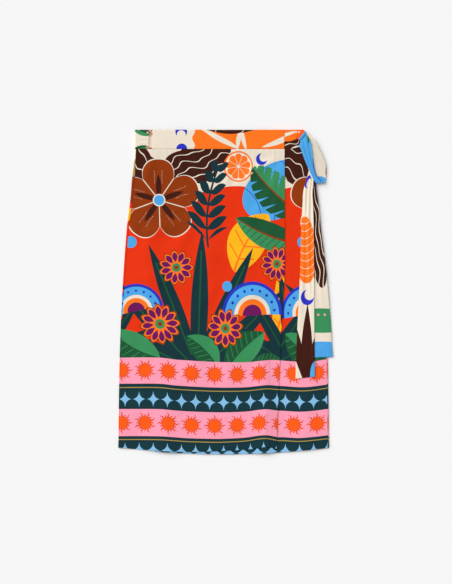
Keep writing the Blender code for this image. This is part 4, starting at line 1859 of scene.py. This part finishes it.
@dataclass
class Ties:
    """The tie round the waist, its knot, the bow's loop and the two tails."""

    form: Form
    bands: Waistbands
    knot_x: float = 170.3
    knot_y: float = 344.3
    knot_z: float = 10.6
    knot_turn: float = math.radians(50)
    knot_half: float = 12.0
    knot_rise: float = 4.3
    knot_reach: float = 6.2
    knot_folds: int = 3
    knot_fold: float = 0.45
    knot_even: float = 0.75  # how much of a fold stays as high all the way round
    knot_slant: float = 0.05
    knot_slant_turn: float = 0.6
    knot_tuck: float = 0.5  # how much less its ends turn in up and down than across
    knot_square: int = 4  # the power that makes its section a rounded square
    knot_round: float = 62.0
    knot_width: float = 24.0
    knot_rows: int = 26
    knot_columns: int = 84
    mouth_x: float = 163.6
    mouth_low_y: float = 336.5
    mouth_high_y: float = 352.4
    roots: int = 4  # how many ribbon ends lie in the knot
    root_half: float = 8.8
    root_reach: float = 4.0
    root_spare: float = 0.4  # how far the roots come out of the knot
    tie_width: float = 40.0
    tie_clear: float = 0.35
    tie_up: float = 1.2
    wrap_start: float = -14.0
    wrap_spare: float = 1.5  # how far before the right side it begins to narrow
    wrap_pitch: float = 3.0
    wrap_rows: int = 22
    wrap_columns: int = 110
    side_sag: float = 1.2
    sag_start: float = 1.5
    sag_width: float = 10.0
    stack_y: float = 306.0
    stack_ramp: float = 10.0
    tail_step: float = 5.0
    tail_spare: float = 1.5
    spare: float = 0.1

    @property
    def front_z(self) -> float:
        """The middle of a tie that lies level with the over front's waistband."""
        return self.bands.back_z + 2 * self.bands.layer - (self.form.band_wall - self.form.tie_wall) / 2

    @property
    def end_z(self) -> float:
        """The middle of a tie that is level with the under front's waistband."""
        return self.front_z - self.bands.layer

    def knot_point(self, along: Array, across: Array, up: Array) -> Array:
        """Points of the knot's own frame: along the way the loop leaves it, across, and up.

        Args:
            along: how far the way the loop leaves it.
            across: how far across that.
            up: how far up from its middle.

        Returns:
            The points.
        """
        leave = self.knot_turn - math.pi / 2
        x = self.knot_x + along * math.cos(leave) + across * math.cos(self.knot_turn)
        y = self.knot_y + along * math.sin(leave) + across * math.sin(self.knot_turn)
        return together(x, y, self.knot_z + up)

    def root(self, level: int, rest: Rest = lambda x, y: 0.0) -> Rows:
        """A ribbon's two sections inside the knot, at their level in its stack, above what rest gives.

        Args:
            level: the ribbon's place in the stack, 0 the lowest.
            rest: the height that the ribbon's own heights are counted from.

        Returns:
            The two sections.
        """
        up, rows = (level - (self.roots - 1) / 2) * self.form.layer, []
        for along in (-self.root_reach, self.knot_reach + self.root_spare):
            ends = [self.knot_point(along, across, up) for across in (-self.root_half, self.root_half)]
            rows.append((*(n for x, y, z in ends for n in (x, y, z - rest(x, y))), 0.0))
        return tuple(rows)

    def along_back(self, column: int, y: Array) -> Array:
        """A column of the back tail's sections at a distance up the skirt."""
        rising = tuple(zip(*TAIL_BACK[::-1]))
        return Curve(rising[EDGE_Y], rising[column])(y)

    def stacked(self, y: Array) -> Array:
        """1 where the ties lie straight on each other, at the knot, and 0 where they part below it."""
        return ease((y - self.stack_y) / self.stack_ramp)

    def on_skirt(self, x: Array, y: Array) -> Array:
        """The middle of a tie that lies on the under front, or just off its side, where it sinks a little.

        Args:
            x: places across the skirt.
            y: places along it.

        Returns:
            The height at each place.
        """
        form = self.form
        side = RIGHT_SIDE(form.waist_y - y)
        sunk = self.side_sag * ease((x - side - self.sag_start) / self.sag_width) * (1 - self.stacked(y))
        rise = form.panel_wall / 2 + form.seam + self.spare + form.tie_wall / 2
        return form.front_height(np.minimum(x, side), y) + rise - sunk

    def on_tail(self, x: Array, y: Array) -> Array:
        """The middle of the front tail, which climbs from the skirt on to the back tail.

        Args:
            x: places across the skirt.
            y: places along it.

        Returns:
            The height at each place.
        """
        past_edge = x - self.along_back(LEFT_X, y) + self.tail_spare
        on_back = np.maximum(ease(1 + past_edge / self.tail_step), self.stacked(y))
        return self.on_skirt(x, y) + on_back * (self.form.layer + self.spare + 2 * self.along_back(GATHER, y))

    def wrap(self) -> Piece:
        """The under front's tie: out of the slit, round the left side, under the back and up to the knot.

        Returns:
            The piece.
        """
        form, bands = self.form, self.bands
        out = self.tie_clear + form.tie_wall / 2
        sides = -LEFT_SIDE.values[0] - out, RIGHT_SIDE.values[0] + out
        mouth, levels = self.mouth_x + form.seam, (form.cloth / 2, self.front_z, self.front_z)
        outside = Fold(bands.slit_left_x, *sides, mouth, *levels).path(self.wrap_columns)
        inside = np.array([[form.under_edge_x, self.end_z], [bands.slit_right_x, self.end_z]])
        path = refined(np.concatenate([inside, outside]), self.wrap_pitch)
        x, z, run = path[:, 0], path[:, 1], runs(path)
        turn_start = run[np.argmax(x > RIGHT_SIDE.values[0] - self.wrap_spare)]
        narrowed = ease((run - turn_start) / (run[-1] - turn_start))
        rows = steps(self.wrap_rows, self.tie_width)[:, None]
        low_y = form.waist_y + self.tie_up
        low = mix(low_y, self.mouth_low_y, narrowed)
        y = mix(low, mix(low_y + self.tie_width, self.mouth_high_y, narrowed), rows)
        upper = ease((z - self.end_z) / (self.front_z - self.end_z))
        cloth = together(run + self.wrap_start, mix(-self.tie_width / 2, self.tie_width / 2, rows))
        points = together(x, y, z + upper * creased(WRAP_CREASES, x, y))
        return Shell(points, cloth, form.cloth).dress("cloth_tie_wrap", "tie_cloth", (), TIE_FACE)

    def knot(self) -> Piece:
        """The wrap of cloth round the roots of the loop and the tails, with soft folds across it.

        Returns:
            The piece.
        """
        half, rise = self.knot_half - self.form.tie_wall / 2, self.knot_rise - self.form.tie_wall / 2
        n = steps(self.knot_rows, 2 * self.knot_reach)[:, None]
        turn = np.linspace(0, 2 * np.pi, self.knot_columns + 1)[:-1]
        cos, sin = np.cos(turn), np.sin(turn)
        size = (cos**self.knot_square + sin**self.knot_square) ** (-1 / self.knot_square)
        slanted = n + self.knot_slant * np.sin(turn + self.knot_slant_turn)
        folds = np.sin(slanted * np.pi * self.knot_folds) ** 2
        swell = self.knot_fold * folds * (self.knot_even + (1 - self.knot_even) * np.cos(2 * turn))
        tuck = 1 - np.sin(np.pi * np.clip(n, 0, 1)) ** 0.5
        across = (half + swell - tuck) * size * cos
        up = (rise + swell - self.knot_tuck * tuck) * size * sin
        points = self.knot_point(mix(-self.knot_reach, self.knot_reach, n), across, up)
        cloth = together(KNOT_AT + turn / (2 * np.pi) * self.knot_round, (n - 0.5) * self.knot_width)
        shell = Shell(points, cloth, self.form.cloth, closed=True)
        return shell.dress("cloth_knot", "tie_cloth", ("cloth_tie_wrap", "cloth_bow_loop"), TIE_FACE)

    def build(self) -> list[Piece]:
        """Makes every stretch of the tie.

        Returns:
            The pieces.
        """
        mouth, top = self.mouth_x - self.form.seam, self.roots - 1
        over = (
            (133.9, 330.7, 0.0, 133.9, 356.1, 0.0, 0.0),
            (147.0, 331.2, 0.0, 147.0, 355.9, 0.0, 0.25),
            (154.5, 333.6, 0.0, 155.0, 355.2, 0.0, 0.35),
            (mouth, self.mouth_low_y, 0.0, mouth, self.mouth_high_y, 0.0, 0.2),
        )
        back = self.root(0, self.on_skirt) + TAIL_BACK
        front = self.root(1, self.on_tail) + TAIL_FRONT
        loop = self.root(top) + BOW + self.root(top - 1)[::-1]
        on_skirt, on_back = ("cloth_front_under",), ("cloth_tail_back", "cloth_front_under")
        start, level, on_band = self.bands.over_end_x, lambda x, y: self.front_z, ("cloth_band_under",)
        ribbons = (
            Ribbon("cloth_tail_back", back, self.on_skirt, BACK_AT, 180, on_skirt),
            Ribbon("cloth_tail_front", front, self.on_tail, FRONT_AT, 190, on_back),
            Ribbon("cloth_bow_loop", loop, lambda x, y: 0.0, LOOP_AT, 150, ("cloth_tail_front",)),
            Ribbon("cloth_tie_over", over, level, start, 24, on_band, finish=BAND_FACE, middle=0.0),
        )
        return [self.wrap(), *(ribbon.build() for ribbon in ribbons), self.knot()]


# --- The studio ---


@dataclass(frozen=True)
class Studio:
    """A pale plain floor, soft light from all round, a weak key light, and the camera straight above."""

    view_height: float = 1.2848  # how much of the floor the picture takes in, in metres
    view_x: float = 0.00528
    lens: float = 100.0
    sensor: float = 36.0
    floor_half: float = 6000.0
    floor_z: float = -0.0002
    floor_white: float = 0.917
    sky: float = 0.38
    key_power: float = 3.06
    key_width: float = 56.0  # how wide the key looks from the floor, in degrees
    key_from: tuple[float, float, float] = (-1.0, 0.9, 1.15)

    def floor(self) -> None:
        """A plain floor under the skirt."""
        material, wires = new_material("pale floor")
        white = (*(self.floor_white,) * 3, 1)
        wires.shade({"Base Color": white, "Roughness": 1.0, "Specular IOR Level": 0.0})
        corners = np.array([(-1, -1, 0), (1, -1, 0), (1, 1, 0), (-1, 1, 0)]) * self.floor_half
        floor = add_mesh("floor", corners, [(0, 1, 2, 3)], material)
        floor.location.z = self.floor_z

    def light(self) -> None:
        """Light from all round, and a wide soft key from the upper left."""
        world = bpy.data.worlds.new("studio")
        world.use_nodes = True
        world.node_tree.nodes["Background"].inputs["Color"].default_value = (1, 1, 1, 1)
        world.node_tree.nodes["Background"].inputs["Strength"].default_value = self.sky
        bpy.context.scene.world = world
        lamp = bpy.data.lights.new("key", "SUN")
        lamp.energy = self.key_power
        lamp.angle = math.radians(self.key_width)
        key = add_object("key", lamp)
        key.location = self.key_from
        key.rotation_euler = (-key.location).to_track_quat("-Z", "Y").to_euler()

    def camera(self) -> None:
        """A camera that looks straight down, with the waist at the top of its picture."""
        made = bpy.data.cameras.new("camera")
        made.lens = self.lens
        made.sensor_width = self.sensor
        camera = add_object("camera", made)
        camera.location = (self.view_x, 0, self.view_height / 2 * self.lens / (self.sensor / 2))
        bpy.context.scene.camera = camera

    def build(self) -> None:
        """Sets up the floor, the lights, the camera and plain colours."""
        self.floor()
        self.light()
        self.camera()
        bpy.context.scene.view_settings.view_transform = "Standard"


def main() -> None:
    """Builds the skirt from the floor up and stitches it."""
    logging.basicConfig(level=logging.INFO, format="%(message)s")
    form, stitching = Form(), Stitching()
    bands = Waistbands(form)
    Studio().build()
    for assembly in (BackPanel(form), FrontPanels(form, stitching), bands, Ties(form, bands), stitching):
        log.info("%s: %d pieces", type(assembly).__name__, len(assembly.build()))


if __name__ == "__main__":
    main()
